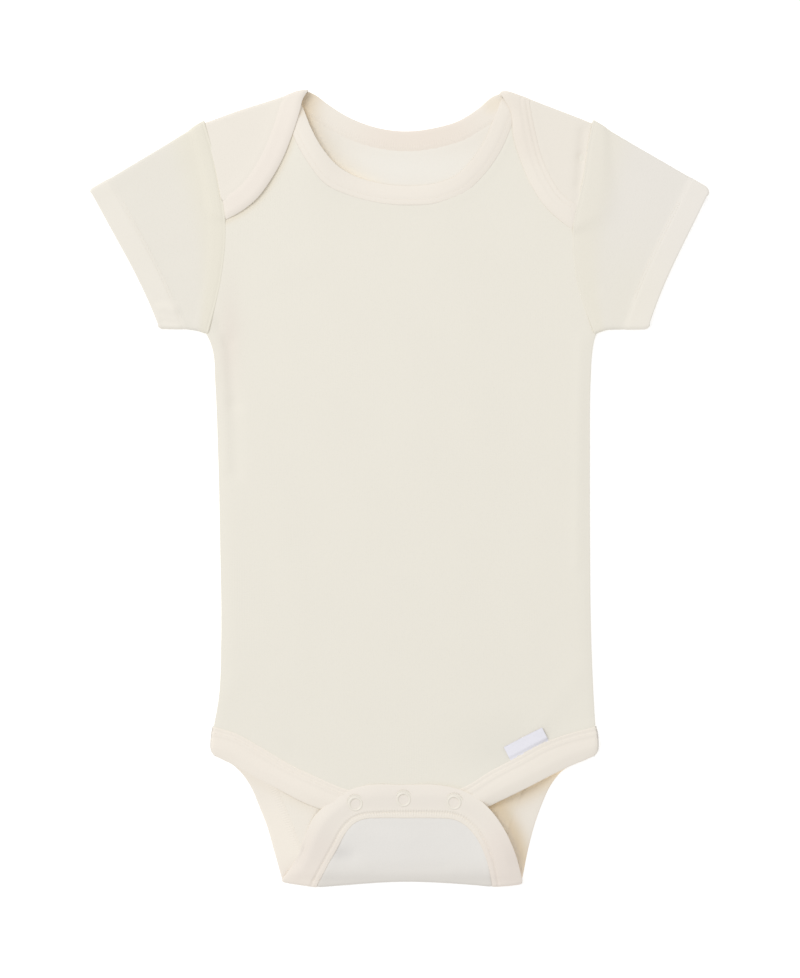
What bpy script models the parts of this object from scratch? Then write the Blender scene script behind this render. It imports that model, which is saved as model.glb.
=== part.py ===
# Baby bodysuit with a lap shoulder, fastened at the crotch and laid flat with its front up.
# X runs across the chest, Y from the crotch fold to the neck, Z up from the surface it rests on.
# Sizes are in millimetres and become metres where a mesh is made.

import math
from collections import namedtuple

import bmesh
import bpy
import numpy as np

MM = 0.001

# Cloth
CLOTH = 1.0  # wall of one layer of knit
BAND = 1.4  # wall of a binding, which is folded double
HEM = 1.7  # wall of a sleeve hem, which is turned in
GAP = 0.3  # clearance at seams and between layers
ROUND = 0.3  # rounding of cut and folded rims
TURN_STEPS = 5  # facets round a fold

# Heights of the undersides of the layers
FRONT_BASE = CLOTH + GAP
FLAP_BASE = FRONT_BASE + CLOTH + GAP
TAB_BASE = 2.5  # at the crotch fold
TAB_LIFT = 0.5  # more where the tab lies on the front's binding
NECK_LIFT = 0.5  # more for each layer that lies on a neck binding
NECK_REACH = 26.0

# Air between front and back along the sides
PUFF = 1.6
PUFF_PEAK = 7.0
PUFF_WIDTH = 15.0
PUFF_MIDDLE = 0.35

# Sleeves
SLEEVE_PUFF = 0.7
ARMHOLE_RIDGE = 1.2  # the seam's allowance and the flap's edge lift the sleeve here
RIDGE_WIDTH = 9.0
HEM_SAG = 1.6
SAG_LEAN = 1.5  # the hem sags most towards the underarm
SLEEVE_FOLD = 1.6  # the folds' centres lie this far inside the outline

# Snaps: prong rings
SNAP_OUTER = 4.1
SNAP_INNER = 2.7
SNAP_HEIGHT = 0.9
SNAP_STEPS = 20

# Blank side tab, folded double
LABEL_LENGTH = 21.0
LABEL_WIDTH = 6.8
LABEL_THICKNESS = 1.0
LABEL_TURN = 27.0
LABEL_CENTRE = (64.4, -129.1)

Side = namedtuple("Side", "y left right")
Section = namedtuple("Section", "edge_x edge_y seam_x seam_y base")
Sleeve = namedtuple("Sleeve", "arm hem_top hem_low line_top line_low under")
Point = namedtuple("Point", "x y")

# Body sides, from the hips up to the underarms
SIDES = (
    Side(-121.6, -95.0, 99.4),
    Side(-108.7, -92.7, 98.9),
    Side(-77.7, -91.3, 97.6),
    Side(-31.7, -91.8, 97.0),
    Side(14.3, -92.8, 96.9),
    Side(54.3, -94.4, 97.3),
    Side(69.3, -95.5, 98.2),
    Side(74.3, -97.0, 99.0),
    Side(78.3, -99.0, 100.2),
)

# Armhole seams, from the underarms up to the shoulder folds
ARMHOLES = (
    Side(78.3, -99.0, 100.2),
    Side(104.3, -92.6, 91.4),
    Side(131.3, -89.9, 89.3),
    Side(159.3, -93.6, 94.8),
    Side(183.9, -99.6, 98.0),
)

# Shoulder folds: at the armhole, at the binding's seam and at the neck
FOLD_LEFT = (Point(-99.6, 183.9), Point(-59.0, 197.6), Point(-46.7, 201.9))
FOLD_RIGHT = (Point(98.0, 183.9), Point(66.0, 195.9), Point(51.0, 200.9))
OUT_LEFT = (-0.32, 0.947)
OUT_RIGHT = (0.34, 0.94)
OUT_CROTCH = (0.0, -1.0)

# Crotch fold of the back panel, between the seams of its leg bindings
CROTCH_FOLD = (Point(-43.4, -202.3), Point(2.0, -200.1), Point(46.9, -202.2))

# Bindings: a row for each section, from the free edge to the seam, and the height it lies at.
FRONT_NECK = (
    Section(-52.0, 198.3, -62.6, 194.7, 1.7),
    Section(-49.5, 193.4, -59.4, 189.3, 1.7),
    Section(-45.4, 183.2, -54.6, 178.9, 1.6),
    Section(-39.8, 173.0, -47.9, 166.5, 1.4),
    Section(-31.6, 163.8, -38.0, 154.3, 1.3),
    Section(-21.4, 158.2, -24.4, 148.1, 1.3),
    Section(-9.2, 155.1, -10.0, 144.7, 1.3),
    Section(4.0, 153.9, 4.6, 143.7, 1.3),
    Section(18.6, 155.3, 20.8, 145.3, 1.3),
    Section(27.8, 158.7, 33.5, 150.5, 1.3),
    Section(35.8, 166.2, 43.4, 159.7, 1.4),
    Section(42.8, 176.3, 51.5, 171.4, 1.6),
    Section(47.7, 187.7, 57.2, 184.3, 1.7),
    Section(51.4, 197.7, 61.4, 195.3, 1.7),
)

BACK_NECK = (
    Section(-46.7, 201.9, -59.0, 197.6, 0.0),
    Section(-37.4, 195.5, -44.0, 187.2, 0.0),
    Section(-26.0, 188.8, -31.1, 179.6, 0.0),
    Section(-14.6, 184.3, -17.8, 174.3, 0.0),
    Section(2.5, 181.7, 2.5, 171.2, 0.0),
    Section(18.5, 183.6, 21.1, 173.4, 0.0),
    Section(29.6, 186.9, 33.8, 177.4, 0.0),
    Section(40.0, 193.3, 46.2, 184.8, 0.0),
    Section(51.0, 200.9, 66.0, 195.9, 0.0),
)

FLAP_LEFT = (
    Section(-89.7, 135.9, -91.0, 148.1, 2.6),
    Section(-81.1, 140.5, -86.2, 149.8, 2.6),
    Section(-73.3, 146.7, -80.2, 154.7, 2.6),
    Section(-65.5, 157.1, -74.2, 162.8, 2.7),
    Section(-58.7, 169.6, -68.2, 174.1, 3.0),
    Section(-54.5, 180.3, -64.6, 183.3, 3.3),
    Section(-51.0, 191.3, -61.8, 191.9, 3.4),
    Section(-46.7, 201.9, -59.0, 197.6, 3.4),
)

FLAP_RIGHT = (
    Section(51.0, 200.9, 66.0, 195.9, 3.4),
    Section(56.4, 191.3, 67.2, 189.9, 3.4),
    Section(57.6, 179.3, 69.3, 179.9, 3.2),
    Section(61.7, 165.8, 72.4, 168.3, 2.8),
    Section(66.8, 154.1, 76.3, 159.3, 2.6),
    Section(74.5, 142.6, 82.0, 150.3, 2.6),
    Section(81.0, 136.5, 86.9, 146.1, 2.6),
    Section(89.2, 130.3, 91.0, 143.7, 2.6),
)

FRONT_LEG = (
    Section(-96.8, -137.3, -96.6, -122.1, 1.7),
    Section(-87.0, -140.8, -84.5, -125.3, 1.7),
    Section(-77.2, -146.8, -71.5, -132.3, 1.7),
    Section(-62.2, -154.3, -56.0, -141.5, 1.6),
    Section(-48.0, -161.5, -42.6, -147.7, 1.3),
    Section(-34.0, -166.7, -29.6, -153.3, 1.3),
    Section(-15.0, -170.2, -13.2, -156.9, 1.3),
    Section(2.0, -171.0, 2.0, -157.7, 1.3),
    Section(19.0, -170.2, 17.2, -156.9, 1.3),
    Section(38.0, -166.1, 33.2, -152.5, 1.3),
    Section(52.0, -159.3, 46.2, -144.4, 1.3),
    Section(66.0, -152.3, 60.4, -137.1, 1.6),
    Section(80.9, -145.0, 75.2, -129.5, 1.7),
    Section(91.0, -140.6, 88.0, -125.1, 1.7),
    Section(101.4, -137.3, 101.2, -122.1, 1.7),
)

BACK_LEG_LEFT = (
    Section(-96.8, -137.3, -96.6, -122.1, 0.0),
    Section(-88.4, -139.9, -84.0, -125.3, 0.0),
    Section(-81.6, -145.3, -72.6, -134.7, 0.0),
    Section(-76.0, -153.3, -65.0, -146.1, 0.0),
    Section(-72.2, -162.2, -60.0, -157.3, 0.0),
    Section(-68.2, -172.2, -55.2, -168.7, 0.0),
    Section(-64.6, -184.7, -50.0, -182.7, 0.0),
    Section(-60.2, -200.3, -43.4, -202.3, 0.0),
)

TAB = (
    Section(-60.2, -200.3, -43.4, -202.3, 2.4),
    Section(-53.0, -189.7, -37.2, -193.1, 2.6),
    Section(-48.6, -177.7, -31.6, -183.7, 2.9),
    Section(-43.8, -167.9, -27.6, -176.3, 3.0),
    Section(-36.4, -160.9, -23.0, -171.3, 3.0),
    Section(-28.0, -155.3, -17.6, -169.1, 3.0),
    Section(-18.0, -152.1, -11.0, -168.7, 3.0),
    Section(2.0, -151.7, 3.0, -168.7, 3.0),
    Section(20.0, -151.8, 17.6, -168.7, 3.0),
    Section(30.0, -153.8, 26.0, -169.1, 3.0),
    Section(38.6, -157.7, 31.4, -171.1, 3.0),
    Section(46.0, -164.1, 35.8, -174.7, 3.0),
    Section(52.6, -173.1, 40.2, -180.7, 2.9),
    Section(58.4, -185.7, 44.2, -190.1, 2.6),
    Section(62.4, -200.3, 46.9, -202.2, 2.4),
)

BACK_LEG_RIGHT = (
    Section(62.4, -200.3, 46.9, -202.2, 0.0),
    Section(65.5, -184.7, 51.6, -182.7, 0.0),
    Section(69.1, -171.2, 56.5, -167.9, 0.0),
    Section(72.8, -161.1, 61.0, -156.7, 0.0),
    Section(76.8, -152.5, 66.4, -145.3, 0.0),
    Section(82.8, -145.0, 75.0, -133.9, 0.0),
    Section(91.5, -140.3, 88.0, -125.1, 0.0),
    Section(101.4, -137.3, 101.2, -122.1, 0.0),
)

# Sleeves: shoulder end, hem corners, hem line 12.5 mm in from the hem, and a point of the underarm edge
SLEEVE_LEFT = Sleeve(
    arm=Point(-100.8, 186.9),
    hem_top=Point(-158.3, 151.9),
    hem_low=Point(-122.6, 80.9),
    line_top=Point(-147.2, 158.2),
    line_low=Point(-109.0, 80.5),
    under=Point(-102.6, 79.5),
)
SLEEVE_RIGHT = Sleeve(
    arm=Point(99.3, 187.2),
    hem_top=Point(158.3, 152.3),
    hem_low=Point(126.4, 80.7),
    line_top=Point(147.3, 158.7),
    line_low=Point(112.6, 80.5),
    under=Point(104.4, 79.9),
)

SNAPS = {
    "snap_left": Point(-22.5, -161.2),
    "snap_centre": Point(1.8, -159.1),
    "snap_right": Point(27.5, -160.5),
}

# Places of the columns: close together at the sides, where the front rounds down
EDGE_PLACES = (0.0, 0.04, 0.12, 0.26, 0.44, 0.63, 0.82, 1.0)
NECK_COLUMNS = 16
TAB_CORNERS = (0.24, 0.76)
TAB_ROWS = 4
FLAP_ROWS = 8
SIDE_PLACES = (0.0, 0.08, 0.25, 0.45, 0.65, 0.82, 0.93, 0.97, 1.0)
ARMHOLE_ROWS = 7
SLEEVE_COLUMNS = 4
HEM_COLUMNS = 2


# Curves and grids


def smooth(rows, places):
    """Points at the given places, 0 to 1, along a smooth curve through the rows."""
    rows = np.array(rows, float)
    steps = np.linalg.norm(np.diff(rows[:, :2], axis=0), axis=1)
    length = np.concatenate(([0.0], np.cumsum(steps)))
    slope = np.gradient(rows, length, axis=0)
    spots = np.array(places, float) * length[-1]
    first = np.clip(np.searchsorted(length, spots, side="right") - 1, 0, len(steps) - 1)
    span = steps[first][:, None]
    t = (spots - length[first])[:, None] / span
    a, b = rows[first], rows[first + 1]
    rise = t * t * (3 - 2 * t)
    bend = (t**3 - 2 * t * t + t) * slope[first] + (t**3 - t * t) * slope[first + 1]
    return a + (b - a) * rise + bend * span


def even(count):
    return np.linspace(0.0, 1.0, count + 1)


def mirrored(places):
    return 1.0 - np.array(places)[::-1]


def joined(*curves):
    """One run of points through curves that meet end to end."""
    parts = [curves[0]] + [curve[1:] for curve in curves[1:]]
    return np.concatenate(parts)


def patch(low, high, left, right):
    """Coons grid of the four edge curves: a row for each point of left and right."""
    v = even(len(left) - 1)[:, None, None]
    u = even(len(low) - 1)[None, :, None]
    across = (1 - u) * left[:, None] + u * right[:, None]
    along = (1 - v) * low[None] + v * high[None]
    corners = (1 - v) * ((1 - u) * low[0] + u * low[-1]) + v * ((1 - u) * high[0] + u * high[-1])
    return across + along - corners


def ruled(first, last, places):
    """Rows of points between two curves of equal length."""
    t = np.array(places, float)[:, None, None]
    return (1 - t) * first[None] + t * last[None]


def raised(grid, height):
    """Adds a third coordinate, a number or a function of x and y."""
    z = height(grid[..., 0], grid[..., 1]) if callable(height) else np.full(grid.shape[:-1], height)
    return np.concatenate((grid[..., :2], z[..., None]), axis=-1)


def turned(start, end, outward):
    """Rows round the fold from one row of points to the row above or below it."""
    middle = (start + end) / 2
    reach = np.abs(end[:, 2:] - start[:, 2:]) / 2
    out = np.array((*outward, 0.0))
    rows = []
    for angle in np.linspace(0.0, math.pi, TURN_STEPS + 1):
        rows.append(middle + (start - middle) * math.cos(angle) + reach * out * math.sin(angle))
    return np.array(rows)


def step_up(value):
    value = np.clip(value, 0.0, 1.0)
    return value * value * (3 - 2 * value)


# Outline and heights


def side_points(rows, side):
    return [(getattr(row, side), row.y) for row in rows]


def body_side(side):
    low = smooth(side_points(SIDES, side), SIDE_PLACES)
    high = smooth(side_points(ARMHOLES, side), even(ARMHOLE_ROWS))
    return joined(low, high)


def side_at(side, y):
    curve = joined(
        smooth(side_points(SIDES, side), even(40)),
        smooth(side_points(ARMHOLES, side), even(40)),
    )
    return np.interp(y, curve[:, 1], curve[:, 0])


def front_air(x, y):
    """Height that the front stands off the back: most beside the side seams."""
    inset = np.minimum(x - side_at("left", y), side_at("right", y) - x)
    hump = np.exp(-(((inset - PUFF_PEAK) / PUFF_WIDTH) ** 2))
    beyond = np.where(inset > PUFF_PEAK, PUFF_MIDDLE + (1 - PUFF_MIDDLE) * hump, 1.0)
    below_arms = step_up((SIDES[-1].y - 5.0 - y) / 45.0)
    above_legs = step_up((y - SIDES[0].y - 3.0) / 35.0)
    return PUFF * step_up(inset / PUFF_PEAK) * beyond * below_arms * above_legs


def neck_rise(x, y):
    """Height gained towards the neck's corners, over the binding beneath."""
    neck_x = np.where(x < 0, FOLD_LEFT[2].x, FOLD_RIGHT[2].x)
    far = np.hypot(x - neck_x, y - FOLD_LEFT[2].y) / NECK_REACH
    return NECK_LIFT * np.exp(-(far**2))


def front_middle(x, y):
    return FRONT_BASE + CLOTH / 2 + front_air(x, y) + neck_rise(x, y)


def flap_middle(x, y):
    return FLAP_BASE + CLOTH / 2 + 2 * neck_rise(x, y)


def tab_middle(x, y):
    rise = step_up((y - CROTCH_FOLD[1].y) / 25.0)
    return TAB_BASE + CLOTH / 2 + TAB_LIFT * rise + 0.0 * x


# Bindings


def front_places():
    """Columns of the front: both edges as fine as the back's, and the middle between."""
    edge, middle = np.array(EDGE_PLACES) * 0.2, 0.2 + even(NECK_COLUMNS) * 0.6
    return joined(edge, middle, 1.0 - edge[::-1])


def tab_places():
    low, high = TAB_CORNERS
    rows = even(TAB_ROWS)
    return joined(rows * low, low + even(NECK_COLUMNS) * (high - low), high + rows * (1 - high))


def band_lines():
    """Each binding's sections at the places that the panels' edges share."""
    flap, neck = even(FLAP_ROWS), even(NECK_COLUMNS)
    return {
        "front_neck": smooth(FRONT_NECK, neck),
        "back_neck": smooth(BACK_NECK, neck),
        "flap_left": smooth(FLAP_LEFT, flap),
        "flap_right": smooth(FLAP_RIGHT, flap),
        "front_leg": smooth(FRONT_LEG, front_places()),
        "back_leg_left": smooth(BACK_LEG_LEFT, EDGE_PLACES),
        "tab": smooth(TAB, tab_places()),
        "back_leg_right": smooth(BACK_LEG_RIGHT, mirrored(EDGE_PLACES)),
    }


def seam_of(line):
    return line[:, 2:4].copy()


def band_grid(line):
    """Rows across a binding, from its free edge to just short of its seam."""
    edge, seam, height = line[:, 0:2], line[:, 2:4], line[:, 4:5] + BAND / 2
    width = np.linalg.norm(seam - edge, axis=1)[:, None]
    seam = seam + (edge - seam) * GAP / width
    return np.stack((np.concatenate((edge, height), axis=1), np.concatenate((seam, height), axis=1)), axis=1)


def folded_band(lines, outwards):
    """Stretches of one binding, joined where it turns over a fold."""
    grids = [band_grid(line) for line in lines]
    rows = [grids[0]]
    for grid, outward in zip(grids[1:], outwards):
        rows += [turned(rows[-1][-1], grid[0], outward)[1:-1], grid]
    return np.concatenate(rows)


# Meshes


def new_material(name, colour, roughness):
    material = bpy.data.materials.new(name)
    material.use_nodes = True
    shader = material.node_tree.nodes["Principled BSDF"]
    shader.inputs["Base Color"].default_value = (*colour, 1.0)
    shader.inputs["Roughness"].default_value = roughness
    shader.inputs["Metallic"].default_value = 0.0
    material.diffuse_color = (*colour, 1.0)
    return material


def add_grid(mesh, grid, closed):
    """Quads between the grid's rows; a closed grid's rows are rings."""
    vertices = [[mesh.verts.new(point * MM) for point in row] for row in grid]
    columns = len(grid[0])
    for low, high in zip(vertices, vertices[1:]):
        for index in range(columns if closed else columns - 1):
            after = (index + 1) % columns
            mesh.faces.new((low[index], low[after], high[after], high[index]))
    return vertices


def add_object(name, mesh, material, parts):
    data = bpy.data.meshes.new(name)
    mesh.to_mesh(data)
    mesh.free()
    data.materials.append(material)
    piece = bpy.data.objects.new(name, data)
    parts.objects.link(piece)
    return piece


def round_rims(piece, width=ROUND):
    bevel = piece.modifiers.new("rim", "BEVEL")
    bevel.width = width * MM
    bevel.segments = 2
    bevel.limit_method = "ANGLE"
    bevel.angle_limit = math.radians(60)


def add_cloth(name, grids, thickness, material, parts):
    """A wall of even thickness about a surface of one or more grids that meet."""
    mesh = bmesh.new()
    for grid in grids:
        add_grid(mesh, grid, closed=False)
    bmesh.ops.remove_doubles(mesh, verts=mesh.verts, dist=0.02 * MM)
    bmesh.ops.recalc_face_normals(mesh, faces=mesh.faces)
    piece = add_object(name, mesh, material, parts)
    wall = piece.modifiers.new("wall", "SOLIDIFY")
    wall.thickness = thickness * MM
    wall.offset = 0.0
    round_rims(piece)
    return piece


# Pieces


def back_lower(lines):
    """The back panel's lower edge: left leg seam, crotch fold, right leg seam."""
    left, right = seam_of(lines["back_leg_left"]), seam_of(lines["back_leg_right"])
    left[0] = (SIDES[0].left, SIDES[0].y)
    right[-1] = (SIDES[0].right, SIDES[0].y)
    fold = smooth(CROTCH_FOLD, even(NECK_COLUMNS))
    fold[0], fold[-1] = left[-1], right[0]
    return joined(left, fold, right)


def back_upper(lines):
    left = smooth(FOLD_LEFT[:2], EDGE_PLACES)
    right = smooth(FOLD_RIGHT[1::-1], mirrored(EDGE_PLACES))
    return joined(left, seam_of(lines["back_neck"]), right)


def ear(fold_row, flap_seam, side):
    """The panel part of a shoulder flap, between the armhole and its binding's seam."""
    heights = fold_row[0][1] + (flap_seam[-1][1] + 2.0 - fold_row[0][1]) * even(FLAP_ROWS)
    outer = np.stack((side_at(side, heights), heights), axis=1)
    outer[0] = fold_row[0][:2]
    plan = np.swapaxes(ruled(outer, flap_seam, EDGE_PLACES), 0, 1)
    grid = raised(plan, flap_middle)
    grid[0] = fold_row
    return grid


def tab_grid(fold_row, tab_seam):
    left, right = tab_seam[: TAB_ROWS + 1], tab_seam[: -TAB_ROWS - 2 : -1]
    left[0], right[0] = fold_row[0][:2], fold_row[-1][:2]
    upper = tab_seam[TAB_ROWS : TAB_ROWS + NECK_COLUMNS + 1]
    grid = raised(patch(fold_row[:, :2], upper, left, right), tab_middle)
    grid[0] = fold_row
    return grid


def add_back_panel(lines, material, parts):
    """One cut: the back, both flaps that turn over the shoulders, and the crotch tab."""
    outline = back_lower(lines), back_upper(lines), body_side("left"), body_side("right")
    body = raised(patch(*outline), CLOTH / 2)
    columns = len(EDGE_PLACES)
    grids = [body]
    ears = (
        ("left", body[-1][:columns], seam_of(lines["flap_left"])[::-1], OUT_LEFT),
        ("right", body[-1][-columns:][::-1], seam_of(lines["flap_right"]), OUT_RIGHT),
    )
    for side, low_row, flap_seam, outward in ears:
        high_row = raised(low_row, flap_middle)
        grids += [turned(low_row, high_row, outward), ear(high_row, flap_seam, side)]
    low_row = body[0][columns - 1 : columns + NECK_COLUMNS]
    high_row = raised(low_row, tab_middle)
    grids += [turned(low_row, high_row, OUT_CROTCH), tab_grid(high_row, seam_of(lines["tab"]))]
    add_cloth("back_panel", grids, CLOTH, material, parts)


def add_front_panel(lines, material, parts):
    lower, neck = seam_of(lines["front_leg"]), seam_of(lines["front_neck"])
    left, right = body_side("left"), body_side("right")
    left[-1, 1] -= 1.0
    right[-1, 1] -= 1.0
    lower[0], lower[-1] = left[0], right[0]
    upper = joined(
        smooth([left[-1], neck[0]], EDGE_PLACES),
        neck,
        smooth([neck[-1], right[-1]], mirrored(EDGE_PLACES)),
    )
    grid = raised(patch(lower, upper, left, right), front_middle)
    add_cloth("front_panel", [grid], CLOTH, material, parts)


def sleeve_plan(cut, side):
    """Plan grid of a sleeve: rows from the shoulder fold to the underarm, columns to the hem."""
    outward = -1.0 if side == "left" else 1.0
    armhole = smooth(side_points(ARMHOLES, side), even(ARMHOLE_ROWS))[::-1] + (outward * GAP, 0.0)
    armhole[0] = cut.arm
    rows = even(ARMHOLE_ROWS)
    sag = np.stack((-outward * HEM_SAG * np.sin(math.pi * rows**SAG_LEAN), 0 * rows), axis=1)
    line = smooth((cut.line_top, cut.line_low), rows) + sag
    hem = smooth((cut.hem_top, cut.hem_low), rows) + sag
    top = smooth((armhole[0], line[0]), even(SLEEVE_COLUMNS))
    under = smooth((armhole[-1], cut.under, line[-1]), even(SLEEVE_COLUMNS))
    main = patch(top, under, armhole, line)
    band = ruled(line, hem, even(HEM_COLUMNS))
    return np.concatenate((main, np.swapaxes(band, 0, 1)[:, 1:]), axis=1)


def sleeve_height(place, inset, hem):
    """Height of the sleeve's upper face: place is 0 at the shoulder fold and 1 at the underarm."""
    layers = 2 * HEM + GAP if hem else 2 * CLOTH + GAP
    edges = np.exp(-((place / 0.12) ** 2)) + np.exp(-(((1 - place) / 0.12) ** 2))
    flap = 1.0 - 0.6 * step_up((place - 0.35) / 0.2)
    ridge = ARMHOLE_RIDGE * flap * (1.0 - step_up(inset / RIDGE_WIDTH))
    return layers + SLEEVE_PUFF * edges + ridge


def pulled_in(line, distance):
    """The line with its ends moved towards its middle, to leave room for the folds."""
    line = line.copy()
    for end, beside in ((0, 1), (-1, -2)):
        step = line[beside] - line[end]
        line[end] += step * distance / np.linalg.norm(step)
    return line


def away(line, end, beside):
    step = line[end] - line[beside]
    return step / np.linalg.norm(step)


def add_sleeve(name, cut, side, material, parts):
    """A flattened tube: rings round both layers, from the armhole to the hem."""
    plan = sleeve_plan(cut, side)
    rings = []
    for column in range(plan.shape[1]):
        flat = pulled_in(plan[:, column], SLEEVE_FOLD)
        inset = np.linalg.norm(plan[:, column] - plan[:, 0], axis=1).mean()
        height = sleeve_height(even(ARMHOLE_ROWS), inset, column >= SLEEVE_COLUMNS)
        upper = np.concatenate((flat, height[:, None]), axis=1)
        lower = raised(flat, 0.0)
        under_turn = turned(upper[-1:], lower[-1:], away(flat, -1, -2))[1:-1, 0]
        top_turn = turned(lower[:1], upper[:1], away(flat, 0, 1))[1:-1, 0]
        rings.append(np.concatenate((upper, under_turn, lower[::-1], top_turn)))
    if side == "left":
        rings = [ring[::-1] for ring in rings]
    mesh = bmesh.new()
    vertices = add_grid(mesh, rings, closed=True)
    mesh.verts.index_update()
    hem = [vertex.index for ring in vertices[SLEEVE_COLUMNS:] for vertex in ring]
    piece = add_object(name, mesh, material, parts)
    group = piece.vertex_groups.new(name="hem")
    group.add(hem, 1.0, "REPLACE")
    wall = piece.modifiers.new("wall", "SOLIDIFY")
    wall.thickness = HEM * MM
    wall.offset = -1.0
    wall.use_even_offset = True
    wall.vertex_group = group.name
    wall.thickness_vertex_group = CLOTH / HEM
    round_rims(piece)


def add_snap(name, place, material, parts):
    """A ring turned from its section, standing on the tab's binding."""
    floor = TAB_BASE + TAB_LIFT + BAND + GAP
    middle = (SNAP_OUTER + SNAP_INNER) / 2
    section = (
        (SNAP_INNER, 0.0),
        (SNAP_OUTER, 0.0),
        (SNAP_OUTER, 0.4 * SNAP_HEIGHT),
        (middle + 0.3, SNAP_HEIGHT),
        (middle - 0.3, SNAP_HEIGHT),
        (SNAP_INNER, 0.5 * SNAP_HEIGHT),
    )
    mesh = bmesh.new()
    corners = [mesh.verts.new((radius * MM, 0.0, height * MM)) for radius, height in section]
    for first, second in zip(corners, corners[1:] + corners[:1]):
        mesh.edges.new((first, second))
    piece = add_object(name, mesh, material, parts)
    piece.location = (place.x * MM, place.y * MM, floor * MM)
    screw = piece.modifiers.new("turn", "SCREW")
    screw.steps = SNAP_STEPS
    screw.render_steps = SNAP_STEPS
    screw.use_merge_vertices = True
    screw.merge_threshold = 0.00001
    screw.use_normal_flip = True


def add_label(material, parts):
    mesh = bmesh.new()
    bmesh.ops.create_cube(mesh, size=MM)
    size = (LABEL_LENGTH, LABEL_WIDTH, LABEL_THICKNESS)
    bmesh.ops.scale(mesh, vec=size, verts=mesh.verts)
    piece = add_object("side_label", mesh, material, parts)
    x, y = LABEL_CENTRE
    height = FRONT_BASE + CLOTH + GAP + LABEL_THICKNESS / 2 + 0.2
    piece.location = (x * MM, y * MM, height * MM)
    piece.rotation_euler = (0.0, 0.0, math.radians(LABEL_TURN))
    round_rims(piece)


def main():
    for item in list(bpy.data.objects):
        bpy.data.objects.remove(item)
    parts = bpy.data.collections.new("baby_bodysuit")
    bpy.context.scene.collection.children.link(parts)

    knit_back = new_material("back_knit", (0.84, 0.82, 0.75), 0.9)
    knit_front = new_material("front_knit", (0.84, 0.82, 0.75), 0.9)
    knit_left = new_material("left_sleeve_knit", (0.84, 0.82, 0.76), 0.9)
    knit_right = new_material("right_sleeve_knit", (0.84, 0.82, 0.76), 0.9)
    lines = band_lines()
    add_back_panel(lines, knit_back, parts)
    add_front_panel(lines, knit_front, parts)
    add_sleeve("left_sleeve", SLEEVE_LEFT, "left", knit_left, parts)
    add_sleeve("right_sleeve", SLEEVE_RIGHT, "right", knit_right, parts)

    neck_lines = [lines[key] for key in ("flap_left", "back_neck", "flap_right")]
    leg_lines = [lines[key] for key in ("back_leg_left", "tab", "back_leg_right")]
    bindings = {
        "front_neck_binding": band_grid(lines["front_neck"]),
        "back_neck_binding": folded_band(neck_lines, (OUT_LEFT, OUT_RIGHT)),
        "front_leg_binding": band_grid(lines["front_leg"]),
        "back_leg_binding": folded_band(leg_lines, (OUT_CROTCH, OUT_CROTCH)),
    }
    for name, grid in bindings.items():
        rib = new_material(name + "_rib", (0.87, 0.83, 0.75), 0.9)
        add_cloth(name, [grid], BAND, rib, parts)

    for name, place in SNAPS.items():
        add_snap(name, place, new_material(name + "_ring", (0.85, 0.82, 0.76), 0.5), parts)
    add_label(new_material("label_tape", (0.88, 0.88, 0.9), 0.8), parts)


main()
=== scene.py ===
# Baby bodysuit of cream rib knit, laid flat with its front up: cloth, sewing, snap rings, blank side tape
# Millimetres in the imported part's frame: X across the chest, Y to the neck, Z up from the table

import math

import bpy
import numpy as np
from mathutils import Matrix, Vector
from mathutils.kdtree import KDTree


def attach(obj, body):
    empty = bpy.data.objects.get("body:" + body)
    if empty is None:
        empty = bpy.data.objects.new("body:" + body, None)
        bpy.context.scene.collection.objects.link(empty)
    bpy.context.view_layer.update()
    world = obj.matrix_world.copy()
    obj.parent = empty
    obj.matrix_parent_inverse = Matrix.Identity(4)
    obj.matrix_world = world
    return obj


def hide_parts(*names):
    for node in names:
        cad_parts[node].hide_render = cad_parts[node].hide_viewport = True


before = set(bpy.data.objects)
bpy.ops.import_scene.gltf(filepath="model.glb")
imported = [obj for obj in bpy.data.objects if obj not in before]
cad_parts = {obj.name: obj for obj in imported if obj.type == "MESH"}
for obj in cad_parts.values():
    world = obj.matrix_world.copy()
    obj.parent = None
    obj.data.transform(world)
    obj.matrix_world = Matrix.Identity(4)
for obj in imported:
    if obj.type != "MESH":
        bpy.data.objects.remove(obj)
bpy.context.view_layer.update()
metre = 0.001  # a millimetre in Blender's units
joined = np.concatenate

print("stage: tables and heights")

# Outline rows, the same as the solids': y, left x, right x
sideRows = (
    (-123.8, -95.4, 99.8), (-108.7, -92.7, 98.9), (-77.7, -91.3, 97.6), (-31.7, -91.8, 97),
    (14.3, -92.8, 96.9), (54.3, -94.4, 97.3), (69.3, -95.5, 98.2), (74.3, -97, 99), (78.3, -99, 100.2),
)
armholeRows = (
    (78.3, -99, 100.2), (104.3, -92.6, 91.4), (131.3, -89.9, 89.3), (159.3, -93.6, 94.8),
    (183.9, -99.6, 98),
)
shoulders = {"left": ((-99.6, 183.9), (-78, 191.6)), "right": ((98, 183.9), (82, 189.9))}
foldOut = {"left": (-0.32, 0.947, 0), "right": (0.34, 0.94, 0), "crotch": (0, -1, 0)}
crotchRows = ((-42.2, -202.9), (2, -200.1), (46.9, -202.2))

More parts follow.
